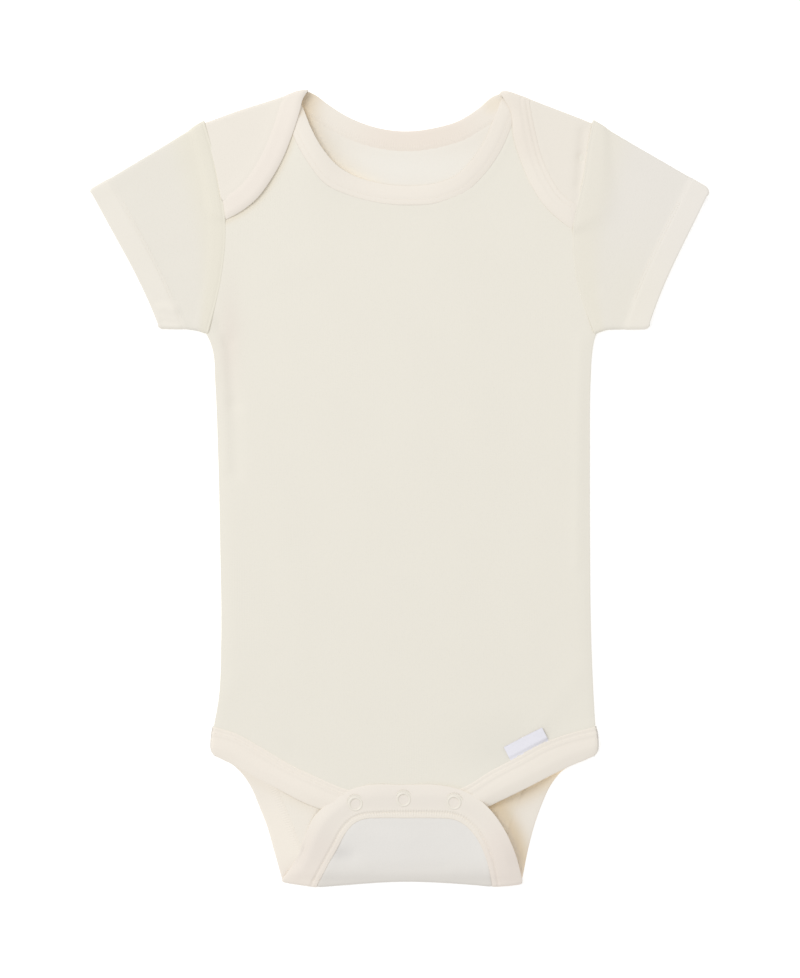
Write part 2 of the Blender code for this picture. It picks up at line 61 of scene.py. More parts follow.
# Bindings: free edge x and y, then seam x and y
bands = {
    "frontNeck": (
        (-52, 198.3, -62.6, 194.7), (-49.5, 193.4, -59.4, 189.3), (-45.4, 183.2, -54.6, 178.9),
        (-39.8, 173, -47.9, 166.5), (-31.6, 163.8, -38, 154.3), (-21.4, 158.2, -24.4, 148.1),
        (-9.2, 155.1, -10, 144.7), (4, 153.9, 4.6, 143.7), (18.6, 155.3, 20.8, 145.3),
        (27.8, 158.7, 33.5, 150.5), (35.8, 166.2, 43.4, 159.7), (42.8, 176.3, 51.5, 171.4),
        (47.7, 187.7, 57.2, 184.3), (52.2, 199.1, 62, 196.6),
    ),
    "backNeck": (
        (-46.7, 201.9, -59, 197.6), (-43.3, 200.3, -53.6, 193.8), (-37.4, 195.9, -44, 187.2),
        (-26, 188.8, -31.1, 179.6), (-14.6, 184.3, -17.8, 174.3), (2.5, 181.7, 2.5, 171.2),
        (18.5, 183.6, 21.1, 173.4), (29.6, 186.9, 33.8, 177.4), (40, 193.3, 46.2, 184.8),
        (47.6, 199.5, 58.6, 191.6), (51, 200.9, 66, 195.9),
    ),
    "flapLeft": (
        (-89.7, 135.9, -91, 148.1), (-81.1, 140.5, -86.2, 149.8), (-73.3, 146.7, -80.2, 154.7),
        (-65.5, 157.1, -74.2, 162.8), (-58.7, 169.6, -68.2, 174.1), (-54.5, 180.3, -64.6, 183.3),
        (-51, 191.3, -61.8, 191.9), (-49.3, 197.8, -60.8, 195.2), (-46.7, 201.9, -59, 197.6),
    ),
    "flapRight": (
        (51, 200.9, 66, 195.9), (56.4, 191.3, 67.2, 189.9), (57.6, 179.3, 69.3, 179.9),
        (61.7, 165.8, 72.4, 168.3), (66.8, 154.1, 76.3, 159.3), (74.5, 142.6, 82, 150.3),
        (81, 136.5, 86.9, 146.1), (89.2, 130.3, 91, 143.7),
    ),
    "frontLeg": (
        (-96.8, -137.3, -96.6, -122.1), (-87, -140.8, -84.5, -125.3), (-77.2, -146.8, -71.5, -132.3),
        (-62.2, -154.3, -56, -141.5), (-48, -161.5, -42.6, -147.7), (-34, -166.7, -29.6, -153.3),
        (-15, -170.2, -13.2, -156.9), (2, -171, 2, -157.7), (19, -170.2, 17.2, -156.9),
        (38, -166.1, 33.2, -152.5), (52, -159.3, 46.2, -144.4), (66, -152.3, 60.4, -137.1),
        (80.9, -145, 75.2, -129.5), (91, -140.6, 88, -125.1), (101.4, -137.3, 101.2, -122.1),
    ),
    "backLegLeft": (
        (-96.8, -137.3, -96.6, -122.1), (-88.4, -139.9, -84, -125.3), (-81.6, -145.3, -72.6, -134.7),
        (-76, -153.3, -65, -146.1), (-72.2, -162.2, -60, -157.3), (-68.2, -172.2, -55.2, -168.7),
        (-64.6, -184.7, -50, -182.7), (-60.2, -200.3, -42.2, -202.9),
    ),
    "tab": (
        (-60.2, -200.3, -42.2, -202.9), (-53.2, -189.7, -36.9, -193.1), (-48.6, -177.7, -31.6, -183.7),
        (-43.8, -167.9, -27.6, -176.3), (-36.4, -160.9, -23, -171.3), (-28, -155.3, -17.6, -169.1),
        (-18, -152.1, -11, -168.7), (2, -151.7, 3, -168.7), (20, -151.8, 17.6, -168.7),
        (30, -153.8, 26, -169.1), (38.6, -157.7, 31.4, -171.1), (46, -164.1, 35.8, -174.7),
        (52.6, -173.1, 40.2, -180.7), (58.4, -185.7, 44.2, -190.1), (62.4, -200.3, 46.9, -202.2),
    ),
    "backLegRight": (
        (62.4, -200.3, 46.9, -202.2), (65.5, -184.7, 51.6, -182.7), (69.1, -171.2, 56.5, -167.9),
        (72.8, -161.1, 61, -156.7), (76.8, -152.5, 66.4, -145.3), (82.8, -145, 75, -133.9),
        (91.5, -140.3, 88, -125.1), (101.4, -137.3, 101.2, -122.1),
    ),
}

cloth = {
    "half": 0.5,  # half the wall of one layer
    "bandHalf": 0.72, "hemHalf": 0.62,
    "tuck": 2.5,  # a panel's edge runs this far inside its binding
    "step": 1.5,  # spacing of the mesh
    "backStep": 1.7, "sideLength": 202, "armholeLength": 106,
    "turnSteps": 8,  # facets round a fold
}

# Middle heights of the layers, and what lifts them
heights = {
    "back": 0.5, "front": 1.8, "flap": 3.1, "tab": 2.15,
    "tabFold": 0.85,  # the tab's rise from its fold
    "tabFoldReach": 8.5,
    "tabRise": 0.6,  # its climb onto the front's binding
    "bandRise": 0.22, "seamReach": 3.2,
    "seamDip": 0.09,  # thread pulls the panel down beside a binding
    "seamDipReach": 0.9, "pucker": 0.05, "puckerReach": 4.5,
    "neckFront": 0.5,  # more at the neck's corners, where bindings lie on bindings
    "neckFlap": 1.25, "neckReach": 27, "hip": 0.75, "hipReach": 14,
    "puff": 0.4,  # air between front and back beside the sides
    "puffPeak": 7, "puffWidth": 15, "puffMiddle": 0.35,
    "sideRoll": 0.34,  # the front's side edges roll down
    "sideRollReach": 1.8,
    "flapValley": (0.28, 1.6, 2.6),  # depth, place and reach beside the right armhole
    "pressed": 0.3,
}

# Places where the front stands off the back: x, y, height, reach x, reach y
frontLifts = ((60, -153, 5.3, 27, 19), (-52, -160, 0.9, 22, 14), (-40, 179, 4.3, 17, 24))
flapLifts = ((-72, 152, 0.8, 15, 15),)
tabLifts = ((58, -181, 5.4, 14, 18), (-52, -180, -0.9, 14, 16))
dropPlaces = (-42, -15, 22, 46)  # across: left, both ends of the middle, right
edgeDrops = {  # how far free edges settle: on the left, in the middle, on the right; reach
    "frontNeck": (1.1, 0.7, 1.05, 6), "flapLeft": (0.6, 0.6, 0.6, 3.4),
    "flapRight": (1, 1, 1, 5), "frontLeg": (1.3, 1, 1.4, 6.5), "tab": (2.2, 1.3, 1.5, 6.5),
}
# Painted shade on cloth below a height, under free edges: edge, side, where the shade is deepest, reach,
# strength, painted glow
shades = {
    "back": (
        2.4,
        (
            ("frontNeck", -1, 1.5, 6, 0.22, 0.5), ("flapLeft", -1, 1, 6.8, 0.8, 0),
            ("frontLeg", -1, 0.5, 3.5, 0.14, 0), ("frontLeg", 1, 2.2, 5.4, 0.68, 1.35),
            ("tab", 1, 3.3, 5, 0.88, 0.6),
        ),
    ),
    "front": (5, (("flapLeft", -1, 0.8, 1.6, 0.3, 0.12), ("tab", 1, 0, 1.2, 0.2, 0))),
}
# how the painted shade falls off inside its deepest place, and the reach of the painted glow
shadeCurve = {"inside": 0.55, "glowReach": 1.7}

# Soft folds of the panels: start x and y, end x and y, height (a trough is negative), width
frontFolds = (
    (-91, 78, -89, 10, 0.25, 2.6), (-95, 86, -87.5, 74, -0.9, 2.6), (-87.5, 74, -84.8, 42, -0.7, 3.4),
    (-84.8, 42, -84, 8, -0.6, 4.2), (-60, -20, -52, -96, 0.18, 9), (44, 96, 55, -14, -0.16, 11),
    (20, -60, 66, -112, 0.16, 10), (-74, 104, -40, 120, 0.15, 7), (92, 74, 90, -40, 0.3, 3),
    (-86, -100, -60, -128, 0.25, 5), (90, -96, 70, -124, 0.25, 5),
)
backFolds = ((-40, 120, -52, 20, 0.14, 9), (30, -40, 60, -120, 0.12, 10))
flapFolds = ((93.2, 181, 92.4, 168, -0.75, 2.7), (92.4, 168, 90.8, 154, -0.7, 2.7))
tabFolds = (
    (-29, -186.4, -25, -187, -0.8, 4), (-22, -176, 4, -181, 0.3, 4.5), (26, -178, 38, -192, 0.25, 4),
    (-12, -195, 22, -194, -0.35, 3.4),
)


# Curves, grids and distances


def split(plan):
    return plan[..., 0], plan[..., 1]


def unit(vectors):
    return vectors / np.maximum(np.linalg.norm(vectors, axis=-1), 1e-9)[..., None]


def runAlong(points):  # the length run up to each point of a line
    return joined(([0], np.cumsum(np.linalg.norm(np.diff(points, axis=0), axis=1))))


def blend(first, second, part):
    return first * (1 - part) + second * part


def curveThrough(rows, places):  # a smooth curve through rows, read at places from 0 to 1
    rows = np.array(rows, float)
    length = runAlong(rows[:, :2])
    slope = np.gradient(rows, length, axis=0)
    spots = np.array(places, float) * length[-1]
    first = np.clip(np.searchsorted(length, spots, side="right") - 1, 0, len(rows) - 2)
    span = np.diff(length)[first][:, None]
    t = (spots - length[first])[:, None] / span
    a, b = rows[first], rows[first + 1]
    bend = (t**3 - 2 * t * t + t) * slope[first] + (t**3 - t * t) * slope[first + 1]
    return a + (b - a) * t * t * (3 - 2 * t) + bend * span


def evenly(count):
    return np.linspace(0, 1, count + 1)


def rimmed(length, step, end=True):  # places that crowd towards a rounded rim
    fine = np.array((0, 0.09, 0.22, 0.42, 0.75, 1.3)) / length
    middle = np.linspace(fine[-1], 1 - fine[-1] if end else 1, max(4, round(length / step)))
    return joined((fine[:-1], middle, 1 - fine[-2::-1] if end else fine[:0]))


def endToEnd(*curves):
    return joined([curves[0]] + [curve[1:] for curve in curves[1:]])


def coons(low, high, left, right, across, along):  # a grid between four edge curves
    u, v = across[:, None], along[:, None, None]
    corners = blend(blend(low[0], low[-1], u), blend(high[0], high[-1], u), v)
    return blend(left[:, None], right[:, None], u) + blend(low, high, v) - corners


def withHeight(plan, height):
    return joined((plan[..., :2], height(plan)[..., None]), axis=-1)


foldTips = {  # a shoulder's fold: its end at the neck, its bulge there and beyond, and over what length
    "left": ((-46.7, 201.9), 0.1, 0.55, 6),
    "right": ((51, 200.9), 0.4, 0.87, 2.5),
}


def bulge(row, side):  # a share of half the fold's height
    if side not in foldTips:
        return 1
    tip, least, most, length = foldTips[side]
    far = np.hypot(row[:, 0] - tip[0], row[:, 1] - tip[1])[:, None]
    return blend(least, most, np.clip(far / length, 0, 1)) + (1 - most) * ease((far - 14) / 26)


def turnedRows(start, end, outward, side=None):  # rows round the fold, from one row to the one above it
    middle = (start + end) / 2
    reach = np.abs(end[:, 2:] - start[:, 2:]) / 2 * bulge(start, side) * np.array(outward)
    angles = evenly(cloth["turnSteps"]) * math.pi
    rows = np.array([middle + (start - middle) * math.cos(a) + reach * math.sin(a) for a in angles])
    rows[0], rows[-1] = start, end
    return rows


def nearest(plan, line):  # distance from each plan point to a line, and the length run along it
    points = plan[..., :2].reshape(-1, 2)
    start, step = line[:-1, :2], np.diff(line[:, :2], axis=0)
    size, run = (step**2).sum(axis=1), runAlong(line[:, :2])
    distance, along = np.empty((2, len(points)))
    for low in range(0, len(points), 4000):
        some = slice(low, low + 4000)
        gap = points[some, None] - start
        t = np.clip((gap * step).sum(axis=2) / size, 0, 1)
        far = ((gap - t[..., None] * step) ** 2).sum(axis=2)
        best = far.argmin(axis=1)
        row = np.arange(len(best))
        distance[some] = np.sqrt(far[row, best])
        along[some] = run[best] + t[row, best] * np.sqrt(size[best])
    return distance.reshape(plan.shape[:-1]), along.reshape(plan.shape[:-1])


def ease(value):
    value = np.clip(value, 0, 1)
    return value * value * (3 - 2 * value)


def bell(value):
    return np.exp(-(value**2))


rippleWaves = ((0.5, 1.31, 1), (0.3, 2.17, 2.3), (0.2, 0.53, 4.1))  # height, rate, turn


def ripple(along, seed):  # an uneven wave, about -1 to 1
    return sum(height * np.sin(along * rate + turn * seed) for height, rate, turn in rippleWaves)


def softFolds(plan, folds):
    lines = [(np.array(((x0, y0), (x1, y1))), height, width) for x0, y0, x1, y1, height, width in folds]
    return sum(height * bell(nearest(plan, line)[0] / width) for line, height, width in lines)


def lifted(plan, lifts):
    x, y = split(plan)
    hills = [(high, np.hypot((x - x0) / wide, (y - y0) / long)) for x0, y0, high, wide, long in lifts]
    return sum(high * bell(far) for high, far in hills)


def waves(plan, seed):  # the slight unevenness of laid cloth
    x, y = split(plan)
    slow = 0.07 * np.sin(x * 0.071 + 0.03 * y + seed) * np.sin(y * 0.053 - 0.02 * x + 2 * seed)
    return slow + 0.05 * np.sin(x * 0.16 + 1.7 * seed) * np.sin(y * 0.031 + seed)


# Outline


def sideLine(rows, side, places):
    column = 1 if side == "left" else 2
    return curveThrough([(row[column], row[0]) for row in rows], places)


def bodySide(side, low, high):  # low and high: steps up the side and up the armhole
    return endToEnd(sideLine(sideRows, side, evenly(low)), sideLine(armholeRows, side, evenly(high)))


def panelSides(step):
    counts = [round(cloth[key] / step) for key in ("sideLength", "armholeLength")]
    return [bodySide(side, *counts) for side in ("left", "right")]


sideCurve = {side: bodySide(side, 60, 60) for side in ("left", "right")}


def sideX(side, y):
    curve = sideCurve[side]
    return np.interp(y, curve[:, 1], curve[:, 0])


def bandLine(name, places):
    return curveThrough(bands[name], places)


def tuckedSeam(line):  # the panel's edge, inside the binding
    return line[:, 2:4] + unit(line[:, 0:2] - line[:, 2:4]) * cloth["tuck"]


seams = {name: bandLine(name, evenly(90))[:, 2:4] for name in bands}


# Heights of the layers' middles


def inset(plan):
    x, y = split(plan)
    return np.minimum(x - sideX("left", y), sideX("right", y) - x)


def seamShape(plan, names, seed):  # a panel's rise onto its bindings, and the pull of the thread
    total = np.zeros(plan.shape[:-1])
    for name in names:
        distance, along = nearest(plan, seams[name])
        total += heights["bandRise"] * bell(distance / heights["seamReach"])
        total -= heights["seamDip"] * bell(distance / heights["seamDipReach"])
        total += heights["pucker"] * ripple(along, seed) * bell(distance / heights["puckerReach"])
    return total


def neckNear(plan):
    x, y = split(plan)
    left, right = bands["backNeck"][0], bands["backNeck"][-1]
    return bell(np.hypot(x - np.where(x < 0, left[0], right[0]), y - left[1]) / heights["neckReach"])


def hipNear(plan):
    ends = [plan[..., :2] - bands["frontLeg"][k][:2] for k in (0, -1)]
    return bell(np.minimum(*[np.linalg.norm(gap, axis=-1) for gap in ends]) / heights["hipReach"])


def frontAir(plan):
    y, edge, peak = plan[..., 1], inset(plan), heights["puffPeak"]
    beyond = blend(heights["puffMiddle"], 1, bell((edge - peak) / heights["puffWidth"]))
    belowArms = ease((sideRows[-1][0] - 5 - y) / 45)
    aboveLegs = ease((y - sideRows[0][0] - 6) / 35)
    return heights["puff"] * ease(edge / peak) * np.where(edge > peak, beyond, 1) * belowArms * aboveLegs


def backBand(plan):
    return np.full(plan.shape[:-1], heights["back"] + heights["bandRise"])


def backCloth(plan):
    rise = seamShape(plan, ("backNeck", "backLegLeft", "backLegRight"), 0.7)
    return heights["back"] + np.maximum(rise + softFolds(plan, backFolds), 0)


def frontLayer(plan):
    rise = heights["neckFront"] * neckNear(plan) + heights["hip"] * hipNear(plan)
    return heights["front"] + rise + lifted(plan, frontLifts)


def frontBand(plan):
    return frontLayer(plan) + heights["bandRise"]


def frontCloth(plan):
    shape = seamShape(plan, ("frontNeck", "frontLeg"), 2.9)
    edge = np.maximum(inset(plan), 0)
    belowArms = ease((80 - plan[..., 1]) / 6)
    shape = shape - heights["sideRoll"] * bell(edge / heights["sideRollReach"]) * belowArms
    shape = shape + ease(edge / 6) * (softFolds(plan, frontFolds) + waves(plan, 0.4))
    return np.maximum(frontLayer(plan) + frontAir(plan) + shape, heights["back"] + 0.35)


def flapLayer(plan):
    lifts = lifted(plan, frontLifts[2:] + flapLifts)
    return heights["flap"] + heights["neckFlap"] * neckNear(plan) + lifts


def pressed(plan):  # the armhole seam holds the ends of the flaps' bindings down
    return bell(np.maximum(inset(plan), 0) / 3)


def flapBand(plan):
    return flapLayer(plan) + heights["bandRise"] - heights["pressed"] * pressed(plan)


def flapCloth(plan):
    depth, place, reach = heights["flapValley"]
    valley = depth * bell((np.maximum(inset(plan), 0) - place) / reach) * (plan[..., 0] > 0)
    shape = seamShape(plan, ("flapLeft", "flapRight"), 5.1) + 0.5 * waves(plan, 1.9) - valley
    return flapLayer(plan) + shape + softFolds(plan, flapFolds)


def tabLayer(plan):
    above = plan[..., 1] - crotchRows[1][1]
    climb = heights["tabFold"] * ease(0.5 + above / heights["tabFoldReach"]) * 2 - heights["tabFold"]
    climb = np.maximum(climb, 0) + heights["tabRise"] * ease(above / 26)
    return heights["tab"] + climb + lifted(plan, frontLifts[:2]) + lifted(plan, tabLifts)


snaps = {
    "places": {"snap_left": (-22.7, -161.3), "snap_centre": (1.8, -159.1), "snap_right": (27.5, -160.5)},
    "profile": (  # radius and height of the ring's section
        (2.5, -0.3), (2.52, 0.02), (2.64, 0.2), (2.88, 0.34), (3.2, 0.42), (3.46, 0.4), (3.64, 0.26),
        (3.76, 0.02), (3.94, -0.04), (4.2, -0.02), (4.32, 0.06), (4.48, 0.1), (4.64, 0.04), (4.76, -0.3),
    ),
    "turns": 56,
    "cloth": ((-0.22, 0, 4.9), (-0.2, 0, 2), (0.05, 4.9, 0.7)),  # height, radius, width
    "puckers": (0.05, 7, 6.2, 1.8),  # height, count, radius, width
    "seat": 3.6,  # the ring stands on the cloth at this radius
    "sunk": 0.06,
}


def snapShape(plan):  # cloth pulled down round the rings and up inside them
    total = np.zeros(plan.shape[:-1])
    pucker, count, middle, reach = snaps["puckers"]
    for index, (x, y) in enumerate(snaps["places"].values()):
        dx, dy = plan[..., 0] - x, plan[..., 1] - y
        far, angle = np.hypot(dx, dy), np.arctan2(dy, dx)
        for height, radius, width in snaps["cloth"]:
            total += height * bell((far - radius) / width)
        total += pucker * np.sin(count * angle + index) * bell((far - middle) / reach)
    return total


def tabBand(plan):
    return tabLayer(plan) + heights["bandRise"] + snapShape(plan)


def tabCloth(plan):
    shape = seamShape(plan, ("tab",), 3.7)
    return tabLayer(plan) + shape + softFolds(plan, tabFolds)


# Meshes


def gridFaces(rows, columns, around=0, back=0):  # 1 where the last column, or row, meets the first
    ids = np.arange(rows * columns).reshape(rows, columns)
    ids = np.pad(ids, ((0, back), (0, around)), mode="wrap")
    return np.stack((ids[:-1, :-1], ids[:-1, 1:], ids[1:, 1:], ids[1:, :-1]), axis=-1).reshape(-1, 4)


def shell(name, grids, half, rim, cuts):
    # A closed wall about the surface of grids that meet, rounded at the rims
    points = joined([grid.reshape(-1, 3) for grid in grids])
    keys = np.round(points * 500).astype(np.int64)
    first, index = np.unique(keys, axis=0, return_index=True, return_inverse=True)[1:]
    half, rim = [np.broadcast_to(np.reshape(value, -1), len(points))[first] for value in (half, rim)]
    vertices, index = points[first], index.reshape(-1)
    quads, corners, offset = [], [], 0
    for grid, cut in zip(grids, cuts):
        faces = gridFaces(*grid.shape[:2])
        quads.append(index[faces + offset])
        corners.append(cut.reshape(-1, 2)[faces])
        offset += grid.shape[0] * grid.shape[1]
    quads, corners = joined(quads), joined(corners)
    a, b, c, d = vertices[quads.T]
    normals = np.zeros_like(vertices)
    for corner in quads.T:
        np.add.at(normals, corner, np.cross(c - a, d - b))
    edges = joined([quads[:, (k, (k + 1) % 4)] for k in range(4)])
    edges = np.sort(edges[edges[:, 0] != edges[:, 1]], axis=1)
    edges, counts = np.unique(edges, axis=0, return_counts=True)
    border = edges[counts == 1]
    inside = np.ones(len(vertices), bool)
    inside[border.reshape(-1)] = False
    half = half * rounded(distanceToBorder(vertices, border) / rim)
    inner = np.arange(len(vertices))
    inner[inside] = len(vertices) + np.arange(inside.sum())
    wall = unit(normals) * half[:, None]
    points = joined((vertices + wall, (vertices - wall)[inside]))
    faces = joined((quads, inner[quads][:, ::-1]))
    return newMesh(name, points, faces, joined((corners, corners[:, ::-1])))


def rounded(share):
    share = np.clip(share, 0, 1)
    return np.sqrt(1 - (1 - share) ** 2)


def distanceToBorder(vertices, border):
    spots = []
    for a, b in vertices[border]:
        count = max(1, math.ceil(np.linalg.norm(b - a) / 0.12))
        spots.append(a + (b - a) * (np.arange(count) / count)[:, None])
    spots = joined(spots)
    tree = KDTree(len(spots))
    for number, spot in enumerate(spots):
        tree.insert(spot, number)
    tree.balance()
    return np.array([tree.find(vertex)[2] for vertex in vertices])


def newMesh(name, points, faces, uvs=None):
    keep = faces != np.roll(faces, 1, axis=1)  # a corner that repeats the one before it goes
    corners = [[c for c, k in zip(*pair) if k] for pair in zip(faces.tolist(), keep.tolist())]
    data = bpy.data.meshes.new(name)
    data.from_pydata((points * metre).tolist(), [], corners)
    if uvs is not None:
        layer = data.uv_layers.new(name="cloth")
        layer.data.foreach_set("uv", uvs[keep].reshape(-1).astype(np.float32))
    data.validate(clean_customdata=False)
    data.shade_smooth()
    piece = bpy.data.objects.new(name, data)
    bpy.context.scene.collection.objects.link(piece)
    return piece


def dress(piece, material, slot, *nodes):
    piece.data.materials.append(material)
    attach(piece, "root")
    if nodes:
        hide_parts(*nodes)
    return piece


def threads(name, runs, material):  # runs: starts and ends of short threads, and the cloth's normals
    starts, ends, normals = [joined(part) for part in zip(*runs)]
    stations = np.array((0, 0.12, 0.5, 0.88, 1))[:, None]
    girth = np.array((0.35, 0.85, 1, 0.85, 0.35)) * binding["thread"]
    step = ends - starts
    side = np.cross(normals, unit(step))
    up = np.cross(unit(step), side)
    angles = np.arange(6)[:, None] * math.pi / 3
    ring = side[:, None] * np.cos(angles) + up[:, None] * np.sin(angles)
    centre = starts[:, None] + step[:, None] * stations
    points = centre[:, :, None] + ring[:, None] * girth[:, None, None]
    caps = np.array(((0, 5, 4, 3), (0, 3, 2, 1), (24, 25, 26, 27), (24, 27, 28, 29)))
    base = np.arange(len(starts))[:, None, None] * 30
    faces = [(part + base).reshape(-1, 4) for part in (gridFaces(5, 6, around=1), caps)]
    piece = newMesh(name + "_stitches", points.reshape(-1, 3), joined(faces))
    return dress(piece, material, "binding_rib")


# Cut pieces


def share(curve):
    run = runAlong(curve[:, :2])
    return run / run[-1]


def panelPlan(low, high, left, right):
    across, along = [(share(a) + share(b)) / 2 for a, b in ((low, high), (left, right))]
    return coons(low, high, left, right, across, along)


def meeting(line, places, start):  # the line, drawn towards a new first point
    return line + (np.array(start) - line[0]) * ((1 - places) ** 8)[:, None]


def turnedOver(lowRow, upperPlan, upperHeight, fold):
    # The cloth round a fold and the layer above it, each with its place in the flat cut
    upper, out = withHeight(upperPlan, upperHeight), np.array(foldOut[fold][:2])
    turn = turnedRows(lowRow, upper[0], foldOut[fold], fold)
    arc = math.pi * float(np.abs(upper[0][:, 2] - lowRow[:, 2]).mean()) / 2
    away = ((lowRow[:, :2].mean(axis=0) - upper[..., :2]) * out).sum(axis=-1)
    upperCut = upper[..., :2] + (2 * away + arc)[..., None] * out
    turnCut = blend(lowRow[:, :2], upperCut[0], evenly(len(turn) - 1)[:, None, None])
    return (turn, upper), (turnCut, upperCut)


sidePlaces = rimmed(62, 1.7, end=False)
neckPlaces = evenly(72)
hipShare = 0.22  # share of the front leg binding under each side's columns
cutPlaces = {"front": 400, "sleeve": 700}  # how far across the flat cut these pieces lie


def shoulder(side, neckEnd):
    return curveThrough((*shoulders[side], tuple(neckEnd)), sidePlaces)


def earPlan(foldRow, side):  # columns from the armhole to the binding
    seam = tuckedSeam(bandLine("flapLeft" if side == "left" else "flapRight", evenly(44)))
    if side == "left":
        seam = seam[::-1]
    seam[0] = foldRow[-1][:2]
    y = foldRow[0][1] + (seam[-1][1] + 2 - foldRow[0][1]) * evenly(44)
    outer = np.stack((sideX(side, y), y), axis=1)
    outer[0] = foldRow[0][:2]
    plan = blend(outer[:, None], seam[:, None], sidePlaces[:, None])
    plan[0] = foldRow[:, :2]
    return plan


tabCorner = 0.24  # share of the tab's binding that runs up each side


def tabPlan(foldRow):
    rise = evenly(34) * tabCorner
    left, right = tuckedSeam(bandLine("tab", rise)), tuckedSeam(bandLine("tab", 1 - rise))
    upper = tuckedSeam(bandLine("tab", tabCorner + (1 - 2 * tabCorner) * neckPlaces))
    left[0], right[0] = foldRow[0][:2], foldRow[-1][:2]
    return panelPlan(foldRow[:, :2], upper, left, right)


def paintShadeAndGlow(piece, ceiling, rows):  # paints shade into the colour where light comes only through the cloth above, and a painted glow at the very edges
    count = len(piece.data.vertices)
    spots, facing = np.empty((2, count * 3))
    piece.data.vertices.foreach_get("co", spots)
    piece.data.vertices.foreach_get("normal", facing)
    spots, facing = spots.reshape(-1, 3) / metre, facing.reshape(-1, 3)
    shade, glow = np.zeros((2, count))
    for name, side, peak, reach, strength, bright in rows:
        distance = nearest(spots, bandLine(name, evenly(80)))[0]
        wide = np.where(distance < peak, reach * shadeCurve["inside"], reach)
        beside = ease((side * spots[:, 0] - 2) / 26)
        shade += np.minimum(strength * bell((distance - peak) / wide) * beside, 1) * (1 - shade)
        glow = np.maximum(glow, bright * np.exp(-distance / shadeCurve["glowReach"]) * beside)
    seen = np.clip(facing[:, 2] * 1.5, 0, 1) * (spots[:, 2] < ceiling)
    for name, values in (("shade", shade), ("glow", glow)):
        piece.data.attributes.new(name, "FLOAT", "POINT").data.foreach_set("value", values * seen)


def makeBack(material):
    left, right = panelSides(cloth["backStep"])
    legLeft = meeting(tuckedSeam(bandLine("backLegLeft", sidePlaces)), sidePlaces, left[0])
    legRight = tuckedSeam(bandLine("backLegRight", 1 - sidePlaces))
    legRight = meeting(legRight, sidePlaces, right[0])[::-1]
    fold = curveThrough(crotchRows, neckPlaces)
    fold[0], fold[-1] = legLeft[-1], legRight[0]
    neck = tuckedSeam(bandLine("backNeck", neckPlaces))
    low = endToEnd(legLeft, fold, legRight)
    high = endToEnd(shoulder("left", neck[0]), neck, shoulder("right", neck[-1])[::-1])
    body = withHeight(panelPlan(low, high, left, right), backCloth)
    grids, cuts = [body], [body[..., :2]]
    columns = len(sidePlaces)
    leftRow, rightRow = body[-1][:columns], body[-1][-columns:][::-1]
    foldRow = body[0][columns - 1 : columns + len(neckPlaces) - 1]
    layers = (
        (leftRow, earPlan(leftRow, "left"), flapCloth, "left", 1),
        (rightRow, earPlan(rightRow, "right"), flapCloth, "right", -1),
        (foldRow, tabPlan(foldRow), tabCloth, "crotch", -1),
    )
    for *layer, turn in layers:
        made, flat = turnedOver(*layer)
        grids += [grid[:, ::turn] for grid in made]
        cuts += [cut[:, ::turn] for cut in flat]
    piece = shell("back_cloth", grids, cloth["half"], cloth["half"], cuts)
    return dress(piece, material, "body_knit", "back_panel")


def makeFront(material):
    left, right = panelSides(cloth["step"])
    left[-1, 1] -= 1
    right[-1, 1] -= 1
    ends = sidePlaces * hipShare
    places = joined((ends, blend(hipShare, 1 - hipShare, evenly(88)[1:-1]), 1 - ends[::-1]))
    low = meeting(tuckedSeam(bandLine("frontLeg", places)), places, left[0])
    low = meeting(low[::-1], places, right[0])[::-1]
    neck = tuckedSeam(bandLine("frontNeck", evenly(88)))
    first, last = [curveThrough(pair, sidePlaces) for pair in ((left[-1], neck[0]), (right[-1], neck[-1]))]
    grid = withHeight(panelPlan(low, endToEnd(first, neck, last[::-1]), left, right), frontCloth)
    flat = grid[..., :2] + (cutPlaces["front"], 0)
    piece = shell("front_cloth", [grid], cloth["half"], cloth["half"], [flat])
    return dress(piece, material, "body_knit", "front_panel")


# Bindings and their sewing

